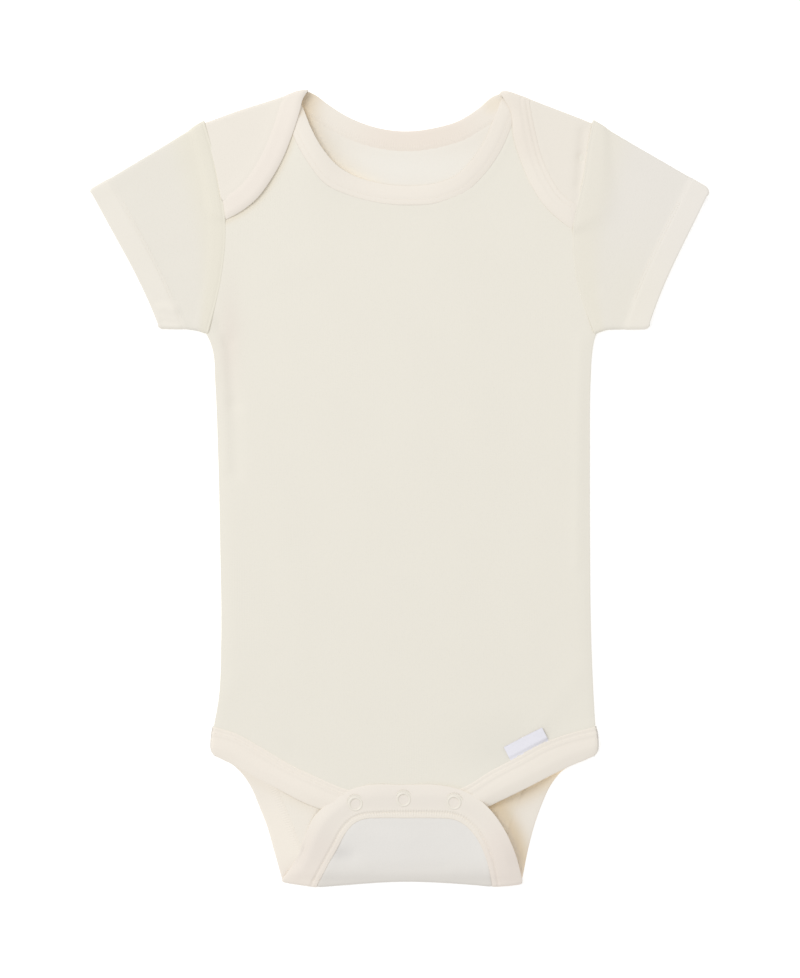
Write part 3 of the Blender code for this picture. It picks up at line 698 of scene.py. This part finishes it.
binding = {
    "edgeRim": 2.4, "seamRim": 0.26,
    "needles": (0.7, 2.9),  # distances of the needle rows from the seam
    "ladder": 3,
    "seamHalf": (0.45, 0.62),  # half the wall at a soft seam and at a crisp one
    "seamTaper": 3, "groove": 0.3, "grooveWidth": 0.6, "pucker": 0.05, "rowStep": 1.2, "pitch": 2.5,
    "thread": 0.09, "gap": 0.2,
    "pressed": 0.2,  # how much thinner at the armhole
    "edgeCorner": (2.3, 4.4),  # how far a corner is rounded, and over what width
    "seamCorner": (1, 8),
}
ladderMarks = {  # where the sewing marks the rib across: start and end along the stretch, strength
    "tab": ((0.18, 0.82, 1),),
    "backNeck": ((0, 1, 0.45),),
    "backLegLeft": ((0.2, 0.8, 0.6),),
}
ribZones = {  # changes of colour: start and end along the stretch, factors, distance from the seam, reach
    # The first row paints a shadow along the seam
    "frontNeck": ((-0.1, 1.1, (0.9, 0.9, 0.9), 0, 0.4), (0.64, 1.05, (0.958, 0.955, 0.955), 5, 9)),
    # The second row is painted warm shade near the right shoulder's tip, where the binding curls
    "backNeck": ((0.3, 0.8, (0.985, 0.955, 0.945), 6, 9), (0.85, 0.97, (0.995, 0.97, 0.92), 9, 4.5)),
    "flapLeft": ((-0.1, 1.1, (0.992, 0.98, 0.988), 8, 12),),
    "flapRight": ((-0.1, 0.5, (0.97, 0.96, 0.955), 6, 10),),
    "backLegLeft": ((0.5, 1.1, (1.05, 1.045, 1.035), 8, 12),),
    # The first row is a painted highlight along the seam
    "frontLeg": ((-0.1, 1.1, (1.03, 1.03, 1.03), 0.3, 0.7), (-0.1, 0.42, (1.024, 1.018, 1.015), 8, 12)),
    "tab": (
        # Painted shadow along the seam
        (0.05, 0.8, (0.91, 0.91, 0.91), 0, 0.4), (0.94, 1, (0.91, 0.91, 0.91), 0, 0.4),
        # Painted shade on both sides of the tab's binding, where it curls
        (-0.1, 0.22, (0.95, 0.935, 0.945), 8, 12), (0.8, 1.1, (0.955, 0.93, 0.94), 8, 12),
        (0.1, 0.9, (0.965, 0.965, 0.975), 9, 4.2), (0.25, 0.75, (0.98, 0.98, 0.99), 15, 2.4),
    ),
}
needleGrooves = (3, 3.2)  # where the two needles' rows lie from the seam
wideGrooves = {"frontLeg": (2, 4.9), "flapRight": (2, 5)}
crispness = {  # how sharply each stretch's seam shows, from -1 for a seam that can't be seen
    "frontNeck": 0.15, "backNeck": -0.4, "flapLeft": 0, "flapRight": 0.7, "frontLeg": 1,
    "backLegLeft": -1, "tab": 1, "backLegRight": -1,
}
bindings = {
    "front_neck": {"stretches": (("frontNeck", frontBand),), "face": 1, "width": 11},
    "back_neck": {
        "stretches": (("flapLeft", flapBand), ("backNeck", backBand), ("flapRight", flapBand)),
        "folds": ("left", "right"),
        "face": -1, "width": 11.5,
        "plain": (0, 80),  # no thread shows here
    },
    "front_leg": {"stretches": (("frontLeg", frontBand),), "face": -1, "width": 14.5},
    "back_leg": {
        "stretches": (("backLegLeft", backBand), ("tab", tabBand), ("backLegRight", backBand)),
        "folds": ("crotch", "crotch"),
        "face": 1, "width": 15, "plain": (225, 400),
    },
}


def acrossPlaces(width):  # from the free edge to the seam
    rim = np.array((0, 0.08, 0.2, 0.4, 0.7, 1.1, 1.6))
    middle = np.arange(2.4, width - 5.4, 0.9)
    sewn = np.linspace(width - 4.6, width - 0.9, 10)
    seam = width - np.array((0.6, 0.36, 0.2, 0.08, 0))
    return joined((rim, middle, sewn, seam)) / width


def bandStretch(name, height, width):
    length = runAlong(bandLine(name, evenly(60))[:, 2:4])[-1]
    line = bandLine(name, evenly(max(12, round(length / binding["rowStep"]))))
    places = acrossPlaces(width)
    wide = np.linalg.norm(line[:, 2:4] - line[:, 0:2], axis=1)[:, None]
    grid = withHeight(blend(line[:, None, 0:2], line[:, None, 2:4], places[:, None]), height)
    low, middle, high, reach = edgeDrops.get(name, (0, 0, 0, 5))
    drop = np.interp(grid[..., 0], dropPlaces, (low, middle, middle, high))
    drop = drop * ease((grid[..., 1] + 203) / 14)  # none at the crotch's fold
    lowest = cloth["bandHalf"] * (1.5 if name == "tab" else 1)
    grid[..., 2] = np.maximum(grid[..., 2] - drop * (1 - ease(wide * places / reach)), lowest)
    return grid, wide * (1 - places)


def roundEnd(grid, fromSeam, last, outward):  # both corners of a binding's end at the hip
    fromEdge = fromSeam.max(axis=1, keepdims=True) - fromSeam
    near = 1 - ease(np.abs(grid[..., 0] - last[:, 0]) / 9)
    for far, (most, reach) in ((fromEdge, binding["edgeCorner"]), (fromSeam, binding["seamCorner"])):
        grid[..., 0] -= outward * near * most * np.clip(1 - far / reach, 0, 1) ** 2


def spansOf(run, rows):  # in rows that begin with two shares of a stretch: its middle and half length
    start, half = run[0], (run[-1] - run[0]) / 2
    return [(start + half * (low + high), half * (high - low), *more) for low, high, *more in rows]


def makeBinding(name, made, colour):
    parts, runs = [], []
    for number, (line, height) in enumerate(made["stretches"]):
        grid, fromSeam = bandStretch(line, height, made["width"])
        places = wideGrooves.get(line, needleGrooves)
        if parts:
            fold = made["folds"][number - 1]
            turn = turnedRows(parts[-1][0][-1], grid[0], foldOut[fold], fold)[1:-1]
            crisp = np.linspace(parts[-1][2][-1], crispness[line], len(turn))
            parts.append((turn, np.broadcast_to(fromSeam[0], turn.shape[:2]), crisp, [places] * len(turn)))
        runs.append((line, sum(len(part[0]) for part in parts), len(grid)))
        parts.append((grid, fromSeam, np.full(len(grid), crispness[line]), [places] * len(grid)))
    if "leg" in name:
        for end, outward in ((0, -1), (-1, 1)):
            roundEnd(*parts[end][:2], parts[end][0][end].copy(), outward)
    grid, fromSeam, crisp, places = [joined(part) for part in zip(*parts)]
    along, crisp = runAlong(grid[:, -1]), crisp[:, None]
    half = blend(*binding["seamHalf"], crisp)
    half = blend(half, cloth["bandHalf"], ease(0.15 + fromSeam / binding["seamTaper"]))
    crisp = np.maximum(crisp, 0)
    for place in places.T[:, :, None]:
        half = half - binding["groove"] * crisp * bell((fromSeam - place) / binding["grooveWidth"])
    wave = ripple(along, 1.3 + len(name))[:, None]
    half = half + binding["pucker"] * crisp * wave * bell((fromSeam - 2) / 3)
    half = half - binding["pressed"] * pressed(grid) * (grid[..., 1] > 100)
    rim = blend(binding["seamRim"], binding["edgeRim"], ease((fromSeam - 3) / 3))
    cut = np.stack(np.broadcast_arrays(along[:, None], fromSeam), axis=-1)
    piece = shell(name + "_rib", [grid], half, rim, [cut])
    ladders, zones = [], []
    for line, first, count in runs:
        run = along[first : first + count]
        ladders += spansOf(run, ladderMarks.get(line, ()))
        zones += spansOf(run, ribZones.get(line, ()))
    dress(piece, ribMaterial(name + "_cream", colour, ladders, zones), "binding_rib", name + "_binding")
    return piece, {**made, "grid": grid, "half": half[..., None], "fromSeam": fromSeam, "along": along}


def gridNormals(grid):
    return unit(np.cross(np.gradient(grid, axis=1), np.gradient(grid, axis=0)))


def sewnLine(band, distance, face):  # the binding's surface and normals at a distance from its seam
    normals = gridNormals(band["grid"]) * face
    both = joined((band["grid"] + normals * band["half"], normals), axis=2)[:, ::-1]
    gaps = band["fromSeam"][:, ::-1]
    return np.array([[np.interp(distance, gap, k) for k in row.T] for row, gap in zip(both, gaps)])


def sampled(line, along, spots):  # points and normals at spots along a line
    both = np.stack([np.interp(spots, along, column) for column in line.T], axis=1)
    return both[:, :3], unit(both[:, 3:])


def needleRun(line, along, first):  # one needle's row of threads
    starts, normals = sampled(line, along, first + binding["gap"])
    return starts, sampled(line, along, first + binding["pitch"] - binding["gap"])[0], normals


def sew(name, band, material):
    pitch, along, face = binding["pitch"], band["along"], band["face"]
    first = np.arange(1, along[-1] - pitch - 1, pitch)
    low, high = band.get("plain", (0, 0))
    first = first[(first < low) | (first > high)]
    runs = [needleRun(sewnLine(band, needle, face), along, first) for needle in binding["needles"]]
    near, far = [sewnLine(band, needle, -face) for needle in binding["needles"]]  # the zigzag behind
    a, normals = sampled(near, along, first)
    b, c = sampled(far, along, first + pitch / 2)[0], sampled(near, along, first + pitch)[0]
    return threads(name, [*runs, (a, b, normals), (b, c, normals)], material)


# Sleeves

sleeves = {
    "left": {
        "out": -1, "arm": (-101, 186), "hemTop": (-158.3, 151.9), "hemLow": (-122.6, 80.9),
        "lineTop": (-147.2, 158.2), "lineLow": (-109, 80.5), "under": (-102.6, 79.5),
        "flapFoot": 134, "dip": 0.4,
        "corners": (1.5, 1.3),  # how round the hem's corners are, at the top and at the underarm
        "ridge": 6.6, "lean": 0, "soften": 0,
        "folds": (
            (-112, 168, -132, 150, 0.2, 7), (-108, 120, -128, 112, -0.2, 7),
            (-122, 91.6, -115, 90.4, 0.75, 2.2), (-122.5, 95.6, -115, 94.2, -0.25, 1.6),
            (-121, 83.8, -112, 83, -0.4, 1.3),
        ),
    },
    "right": {
        "out": 1, "arm": (99.7, 186.3), "hemTop": (158.3, 152.3), "hemLow": (126.4, 80.7),
        "lineTop": (147.3, 158.7), "lineLow": (112.6, 80.5), "under": (104.4, 79.9), "flapFoot": 128.5,
        "dip": 0.16, "corners": (3, 2), "ridge": 6.2,
        "lean": 0.2,  # the ridge widens and softens down the armhole
        "soften": 0.006,
        "folds": (
            (110, 172, 128, 150, 0.2, 7), (104, 124, 126, 112, -0.2, 7), (104, 98, 114, 90, 0.25, 4),
        ),
    },
}
sleeve = {
    "fold": 1.6, "sag": 1.6, "sagLean": 1.5, "puff": 0.7, "rows": 58, "hemWidth": 12.5, "tuck": 1.2,
    "needles": (11, 12.3),
}


def sleevePlan(cut, side):
    rows = evenly(sleeve["rows"])
    armhole = sideLine(armholeRows, side, rows)[::-1].copy()
    armhole[0] = cut["arm"]
    bow = -cut["out"] * sleeve["sag"] * np.sin(math.pi * rows ** sleeve["sagLean"])
    sag = np.stack((bow, 0 * rows), axis=1)
    line = curveThrough((cut["lineTop"], cut["lineLow"]), rows) + sag
    hem = curveThrough((cut["hemTop"], cut["hemLow"]), rows) + sag
    across = joined(((0, 0.007, 0.016, 0.03, 0.05, 0.075), np.linspace(0.1, 1, 34)))
    top = curveThrough((armhole[0], line[0]), across)
    under = curveThrough((armhole[-1], cut["under"], line[-1]), across)
    main = coons(armhole, line, top, under, rows, across)  # rows to the hem, columns to the underarm
    inward = unit(main[0] - main[1])
    tuck = [main[0] + inward * far for far in (sleeve["tuck"], 0.9, 0.6, 0.3)]
    fromHem = joined((np.arange(11.9, 1.7, -0.6), (1.2, 0.8, 0.5, 0.28, 0.1, 0)))
    band = blend(line, hem, (1 - fromHem / sleeve["hemWidth"])[:, None, None])
    return joined((tuck, main, band)), armhole, hem


def makeSleeve(name, cut, side, material):
    plan, armhole, hem = sleevePlan(cut, side)
    fromArm, fromHem = nearest(plan, armhole)[0], nearest(plan, hem)[0]
    fromArm[:4] *= -1
    place = evenly(sleeve["rows"])
    half = blend(cloth["half"], cloth["hemHalf"], ease((sleeve["hemWidth"] + 2 - fromHem) / 5))
    for needle in sleeve["needles"]:
        half = half - 0.04 * bell((fromHem - needle) / 0.45)
    y = plan[..., 1]
    flapSide = ease((y - cut["flapFoot"]) / (4 + 0.8 * np.maximum(fromArm, 0)))
    down = np.maximum(cut["arm"][1] - y, 0)
    wide, reach = 4.4 + cut["soften"] * down**2, cut["ridge"] + cut["lean"] * down
    ridge = (0.3 + 0.75 * flapSide) * (1 - ease((fromArm - reach) / wide + 0.5))
    ridge = ridge + 0.35 * flapSide * (1 - ease(fromArm / 26))
    folds = bell(place / 0.1) + bell((1 - place) / 0.1)
    inner = ease(fromArm / 5) * ease(fromHem / 4 + 0.4)
    upperMid = half * 3 + 0.3 + sleeve["puff"] * folds + ridge
    upperMid = upperMid + inner * (softFolds(plan, cut["folds"]) + waves(plan, 3.3))
    upperMid = upperMid - cut["dip"] * (0.5 + 0.5 * flapSide) * bell(np.maximum(fromArm, -0.6) / 0.85)
    rings, halves = [], []
    for row, z, h, far in zip(plan, upperMid, half, fromHem):
        flat = row.copy()
        for end, turn, corner in ((0, 1, cut["corners"][0]), (-1, -1, cut["corners"][1])):
            short = max(corner - far[end], 0)
            drawn = sleeve["fold"] + corner - math.sqrt(corner**2 - short**2)
            flat[end] = row[end] + unit(row[end + turn] - row[end]) * drawn
            for k in range(1, 5):  # the next points spread out evenly again
                flat[end + turn * k] = blend(flat[end], row[end + turn * 5], k / 5)
        upper, lower = [joined((flat, level[:, None]), axis=1) for level in (z, h)]
        under = turnedRows(upper[-1:], lower[-1:], (*unit(flat[-1] - flat[-2]), 0))[1:-1, 0]
        top = turnedRows(lower[:1], upper[:1], (*unit(flat[0] - flat[1]), 0))[1:-1, 0]
        rings.append(joined((upper, under, lower[::-1], top, upper[:1])))
        turned = np.ones(len(under))
        halves.append(joined((h, h[-1] * turned, h[::-1], h[0] * turned, h[:1])))
    grid, half = np.array(rings), np.array(halves)
    around, along = runAlong(grid[len(grid) // 2]), runAlong(grid[:, 10])
    cutX, cutY = around + cutPlaces["sleeve"], along[-1] - along[:, None]
    flatCut = np.stack(np.broadcast_arrays(cutX, cutY), axis=-1)
    rim = np.broadcast_to(np.where(np.arange(len(grid)) < 20, 0.7, 0.85)[:, None], half.shape)
    piece = shell(name + "_cloth", [grid], half, rim, [flatCut])
    return dress(piece, material, "body_knit", name), grid, half[..., None]


def sewHem(name, grid, half, material):
    normal = gridNormals(grid)
    inward = ((grid - grid.mean(axis=1, keepdims=True)) * normal).sum(axis=2, keepdims=True) < 0
    normal = np.where(inward, -normal, normal)
    fromHem = runAlong(grid[:, 20])
    fromHem = fromHem[-1] - fromHem
    runs = []
    for needle in sleeve["needles"]:
        row = np.interp(-needle, -fromHem, np.arange(len(fromHem)))
        low, part = int(row), row - int(row)
        line, wall = [blend(rows[low], rows[low + 1], part) for rows in (grid, half)]
        line = line + normal[low] * wall
        along = runAlong(line)
        first = np.arange(0.5, along[-1] - binding["pitch"], binding["pitch"])
        runs.append(needleRun(joined((line, normal[low]), axis=1), along, first))
    return threads(name, runs, material)


# Side label and snaps

label = {
    "centre": (64.25, -130.7), "turn": math.radians(27), "length": 22, "width": 6.3, "half": 0.17,
    "under": 2.2,  # hidden in the seam
    "gap": 0.4, "openGap": 0.8, "seamGap": 0.36,
    "lift": (0.2, 0.45),  # off the front, at its two ends
    "fold": 0.4,
}


def makeLabel(material):
    w, (least, most) = label["width"], label["lift"]
    low = np.linspace(-w / 2 - label["under"], w / 2, 14)
    angles = np.linspace(0, math.pi, 9)[1:-1]
    across = joined((low, w / 2 + label["fold"] * np.sin(angles), low[::-1]))[:, None]
    level = joined((0 * low, (1 - np.cos(angles)) / 2, 0 * low + 1))[:, None]
    pinched = ease((low + w / 2) / 1.2)
    pinch = joined((pinched, 0 * angles + 1, pinched[::-1]))[:, None]
    places = rimmed(label["length"], 0.9)
    along = (places - 0.5) * label["length"]
    cosine, sine = math.cos(label["turn"]), math.sin(label["turn"])
    x = label["centre"][0] + along * cosine - across * sine
    y = label["centre"][1] + along * sine + across * cosine
    plan = np.stack((x, y), axis=-1)
    opening = label["gap"] + label["openGap"] * places**2.5
    z = frontCloth(plan) + cloth["half"] - 0.5 * (1 - pinch) + pinch * blend(least, most, places**2)
    z = z + level * blend(label["seamGap"], opening, pinch)
    grid = joined((plan, z[..., None]), axis=-1)
    cut = np.stack(np.broadcast_arrays(along, np.arange(len(across))[:, None] * 0.5), axis=-1)
    piece = shell("side_label_tape", [grid], label["half"], label["half"], [cut])
    return dress(piece, material, "label_tape", "side_label")


def makeSnap(name, place, material):
    radius, height = np.array(snaps["profile"]).T[..., None]
    turns = np.arange(snaps["turns"]) * 2 * math.pi / snaps["turns"]
    circle = np.stack((np.cos(turns), np.sin(turns)), axis=-1)
    floor = tabBand(place + snaps["seat"] * circle) + cloth["bandHalf"] - snaps["sunk"]
    plan = place + radius[..., None] * circle
    points = joined((plan, (floor + height)[..., None]), axis=-1)
    faces = gridFaces(*points.shape[:2], around=1, back=1)[:, (0, 3, 2, 1)]
    return dress(newMesh(name + "_ring", points.reshape(-1, 3), faces), material, "snap_ring", name)


# Materials


def reckoned(operation, swapped=False):  # an operator of Term
    return lambda term, other: term.graph.math(operation, *((other, term) if swapped else (term, other)))


class Term:  # a socket that can be reckoned with
    def __init__(self, graph, socket):
        self.graph, self.socket = graph, socket

    __add__ = __radd__ = reckoned("ADD")
    __mul__ = __rmul__ = reckoned("MULTIPLY")
    __sub__, __rsub__ = reckoned("SUBTRACT"), reckoned("SUBTRACT", swapped=True)
    __truediv__ = reckoned("DIVIDE")

    def __neg__(self):
        return self * -1


def opaque(colour):
    return colour if isinstance(colour, Term) else (*colour, 1)


class Graph:  # a material's nodes
    def __init__(self, name):
        self.material = bpy.data.materials.new(name)
        self.material.use_nodes = True
        self.nodes, self.links = self.material.node_tree.nodes, self.material.node_tree.links

    def feed(self, node, values):
        for key, value in values.items():
            if isinstance(value, Term):
                self.links.new(value.socket, node.inputs[key])
            else:
                node.inputs[key].default_value = value

    def node(self, kind, settings, values, output=0):
        made = self.nodes.new("ShaderNode" + kind)
        for key, value in settings.items():
            setattr(made, key, value)
        self.feed(made, values)
        return Term(self, made.outputs[output])

    def math(self, operation, *values):
        return self.node("Math", {"operation": operation}, dict(enumerate(values)))

    def mix(self, factor, first, second, kind="MIX"):
        settings = {"data_type": "RGBA", "blend_type": kind}
        return self.node("Mix", settings, {0: factor, 6: first, 7: second}, 2)

    def tint(self, colour, factor, factors):  # the colour, part of the way to itself times the factors
        return self.mix(factor, opaque(colour), opaque(factors), "MULTIPLY")

    def share(self, name):
        return self.node("Attribute", {"attribute_name": name}, {}, 2)

    def noise(self, x, y, z=0, detail=2):
        place = self.node("CombineXYZ", {}, {0: x, 1: y, 2: z})
        return self.node("TexNoise", {}, {"Vector": place, "Scale": 1, "Detail": detail})

    def wave(self, value, period):
        return self.math("SINE", value * (2 * math.pi / period))

    def hump(self, value, centre, reach, power):  # 1 at the centre, falling to 0
        far = self.math("ABSOLUTE", (value - centre) / reach)
        return self.math("EXPONENT", -self.math("POWER", far, power))

    def cut(self):  # place in the flat cut, in millimetres
        flat = self.node("UVMap", {"uv_map": "cloth"}, {})
        parts = self.nodes.new("ShaderNodeSeparateXYZ")
        self.feed(parts, {0: flat})
        return Term(self, parts.outputs[0]), Term(self, parts.outputs[1])

    def bump(self, height, distance):
        return self.node("Bump", {}, {"Height": height, "Distance": distance * metre, "Strength": 1})

    def finish(self, colour, roughness, shine, others=()):
        values = {"Base Color": opaque(colour), "Roughness": roughness, "Specular IOR Level": shine}
        self.feed(self.nodes["Principled BSDF"], {**values, **dict(others)})
        return self.material


paintedShadeTint = (0.87, 0.785, 0.645)  # painted shade: the tint of light that has come through the cloth
# painted glow: a brightening painted at the very edges of the painted shade
paintedGlowTint = (1.36, 1.28, 1.14)


def clothFinish(graph, colour, tone, height, depth):
    pale, deep = [graph.tint(colour, 1, (f, f, f)) for f in (1.06, 0.94)]
    # painted shade under free edges, then a painted glow at their edges, read from the cloth's attributes
    shaded = graph.tint(graph.mix(tone, deep, pale), graph.share("shade"), paintedShadeTint)
    lit = graph.tint(shaded, graph.share("glow"), paintedGlowTint)
    nap = {"Sheen Weight": 0.05, "Sheen Roughness": 0.5}
    return graph.finish(lit, 0.95, 0.1, {"Normal": graph.bump(height, depth), **nap})


def knitMaterial(name, colour, zones):  # zones: centre and reach down, sharpness, factors, both across
    graph = Graph(name)
    u, v = graph.cut()
    across = (u + graph.noise(u * 0.25, v * 0.12) * 0.5) / 0.86
    wale = graph.math("ABSOLUTE", graph.math("FRACT", across) - 0.5) * 2
    course = graph.wave(v + wale * 0.33, 0.7)
    slub = graph.noise(u * 0.33, v * 2.1, 3, 3)
    cloud = graph.noise(u * 0.045, v * 0.04, 9)
    tone = (slub - 0.5) * 0.16 + (cloud - 0.5) * 0.12 - graph.math("POWER", wale, 3) * 0.03 + 0.5
    height = course * 0.2 * (1 - wale) - wale * wale * 0.5 + slub * 1.4
    for centre, reach, power, factors, *beside in zones:
        where = graph.hump(v, centre, reach, power)
        if beside:
            where = where * graph.hump(u, *beside, power)
        colour = graph.tint(colour, where, factors)
    return clothFinish(graph, colour, tone, height, 0.04)


def ribMaterial(name, colour, ladders, zones):  # ladders: where stitches mark the rib, and how much
    graph = Graph(name)
    u, v = graph.cut()
    rib = graph.wave(u + graph.noise(u * 0.2, v * 0.2) * 0.4, 1.28)
    slub = graph.noise(u * 2.1, v * 0.4, 5, 3)
    cloud = graph.noise(u * 0.06, v * 0.06, 2)
    across = graph.hump(v, binding["ladder"], 1.8, 4)
    marks = 0.06
    for middle, reach, strength in ladders:
        marks = across * graph.hump(u, middle, reach, 4) * strength + marks
    for middle, reach, factors, low, wide in zones:
        where = graph.hump(u, middle, reach, 4) * graph.hump(v, low, wide, 4)
        colour = graph.tint(colour, where, factors)
    ribs = rib * marks
    tone = (slub - 0.5) * 0.14 + (cloud - 0.5) * 0.12 + ribs * 0.1 + 0.5
    return clothFinish(graph, colour, tone, ribs * 1.1 + slub * 0.9, 0.05)


def tapeMaterial(colour):
    graph = Graph("white_tape")
    u, v = graph.cut()
    weave = graph.wave(u, 0.34) * graph.wave(v, 0.3)
    woven = graph.mix(weave * 0.1 + 0.5, opaque([c * 0.94 for c in colour]), opaque(colour))
    return graph.finish(woven, 0.6, 0.3, {"Normal": graph.bump(weave, 0.02)})


def threadMaterial(colour):
    return Graph("cotton_thread").finish(colour, 0.8, 0.2)


def enamelMaterial(colour):
    return Graph("snap_enamel").finish(colour, 0.4, 0.5, {"Coat Weight": 0.2, "Coat Roughness": 0.3})


# Build

# The second row is painted shade along the crotch's fold; the fourth is a painted shadow of a crease on
# the tab
backZones = (
    (-232, 30, 4, (0.955, 0.985, 1.045)), (-202, 8, 2, (0.885, 0.885, 0.895)),
    (-170, 26, 4, (1.03, 1.03, 1.03)), (-218, 3.2, 2, (0.925, 0.925, 0.93), -30, 6),
    (163, 12, 2, (1.025, 1.045, 1.065), 0, 60),
)
# Both rows are painted shade: on the front where it stands off the back beside the right leg opening, and
# in the fold under the left arm
frontZones = ((-137, 17, 2, (0.945, 0.95, 0.955), 452, 24), (76, 26, 2, (0.972, 0.948, 0.954), 313, 6))
sleeveZones = ((0, 12.4, 14, (1.035, 1.03, 1.03)), (62, 17, 4, (1, 0.995, 0.955)))
lowZone = (22, 42, 2, (1, 1, 0.966), 775, 36)
knitBack = knitMaterial("cream_knit_back", (0.84, 0.79, 0.71), backZones)
knitFront = knitMaterial("cream_knit_front", (0.825, 0.79, 0.705), frontZones)
knitSleeves = {
    "left": knitMaterial("cream_knit_left", (0.805, 0.77, 0.695), sleeveZones),
    "right": knitMaterial("cream_knit_right", (0.815, 0.78, 0.723), (*sleeveZones, lowZone)),
}
ribColour = (0.855, 0.80, 0.72)
thread = threadMaterial((0.87, 0.815, 0.73))
tape = tapeMaterial((0.84, 0.83, 0.89))
enamel = enamelMaterial((0.83, 0.785, 0.70))

print("stage: panels")
back = makeBack(knitBack)
front = makeFront(knitFront)

print("stage: bindings and sewing")
sewn = {}
for name, made in bindings.items():
    sewn[name], band = makeBinding(name, made, ribColour)
    sew(name, band, thread)

print("stage: sleeves")
for side, cut in sleeves.items():
    name = side + "_sleeve"
    sewn[name], grid, half = makeSleeve(name, cut, side, knitSleeves[side])
    sewHem(name, grid, half, thread)

print("stage: label and snaps")
tapePiece = makeLabel(tape)
for name, place in snaps["places"].items():
    makeSnap(name, place, enamel)

# painted shade and painted glow on the cloth under free edges
for piece in (back, sewn["back_leg"], sewn["back_neck"]):
    paintShadeAndGlow(piece, *shades["back"])
for piece in (front, sewn["front_neck"], sewn["front_leg"]):
    paintShadeAndGlow(piece, *shades["front"])

flatSizes = {  # length and width of what is sewn, in metres: a folded strip, or a sleeve all round
    "front_neck": (0.17, 0.011), "back_neck": (0.30, 0.0115), "front_leg": (0.23, 0.0145),
    "back_leg": (0.44, 0.0155), "left_sleeve": (0.2, 0.06), "right_sleeve": (0.2, 0.06),
}
sheets = [(back, (0.21, 0.46), 0.0745, []), (front, (0.21, 0.36), 0.0605, [])]
sheets += [(sewn[name], flat, None, [name + "_stitches"]) for name, flat in flatSizes.items()]
sheets += [(tapePiece, (0.022, 0.0185), None, [])]

# Table, light and camera

print("stage: light and camera")
studio = {
    "world": 0.756, "key": 21.3, "keyPlace": (-1.15, 0.95, 2.05), "keySize": 1.4, "floor": 0.8,
    "glow": 0.4, "lens": 100, "sensor": 36,
    "field": 498.8,  # height of what is seen, in millimetres
    "aim": (0, -0.95, 2.5),
}


def setStage():
    scene = bpy.context.scene
    bpy.ops.mesh.primitive_plane_add(size=6, location=(0, 0, -0.0001))
    floor = bpy.context.active_object
    floor.name = "table"
    glow = {"Emission Color": (1, 1, 1, 1), "Emission Strength": studio["glow"]}
    floor.data.materials.append(Graph("white_paper").finish([studio["floor"]] * 3, 1, 0, glow))
    lamp = bpy.data.lights.new("window", "AREA")
    lamp.shape, lamp.size, lamp.energy = "DISK", studio["keySize"], studio["key"]
    light = bpy.data.objects.new("window", lamp)
    light.location = studio["keyPlace"]
    light.rotation_euler = Vector(studio["keyPlace"]).to_track_quat("Z", "Y").to_euler()
    scene.collection.objects.link(light)
    world = bpy.data.worlds.new("studio")
    world.use_nodes = True
    sky = world.node_tree.nodes["Background"].inputs
    sky["Color"].default_value, sky["Strength"].default_value = (1, 1, 1, 1), studio["world"]
    scene.world = world
    lens = bpy.data.cameras.new("view")
    lens.lens, lens.sensor_fit, lens.sensor_height = studio["lens"], "VERTICAL", studio["sensor"]
    camera = bpy.data.objects.new("view", lens)
    x, y, z = studio["aim"]
    distance = studio["lens"] / studio["sensor"] * studio["field"]
    camera.location = (x * metre, y * metre, (z + distance) * metre)
    scene.collection.objects.link(camera)
    scene.camera = camera
    scene.view_settings.view_transform = "Standard"


setStage()

bpy.context.view_layer.update()
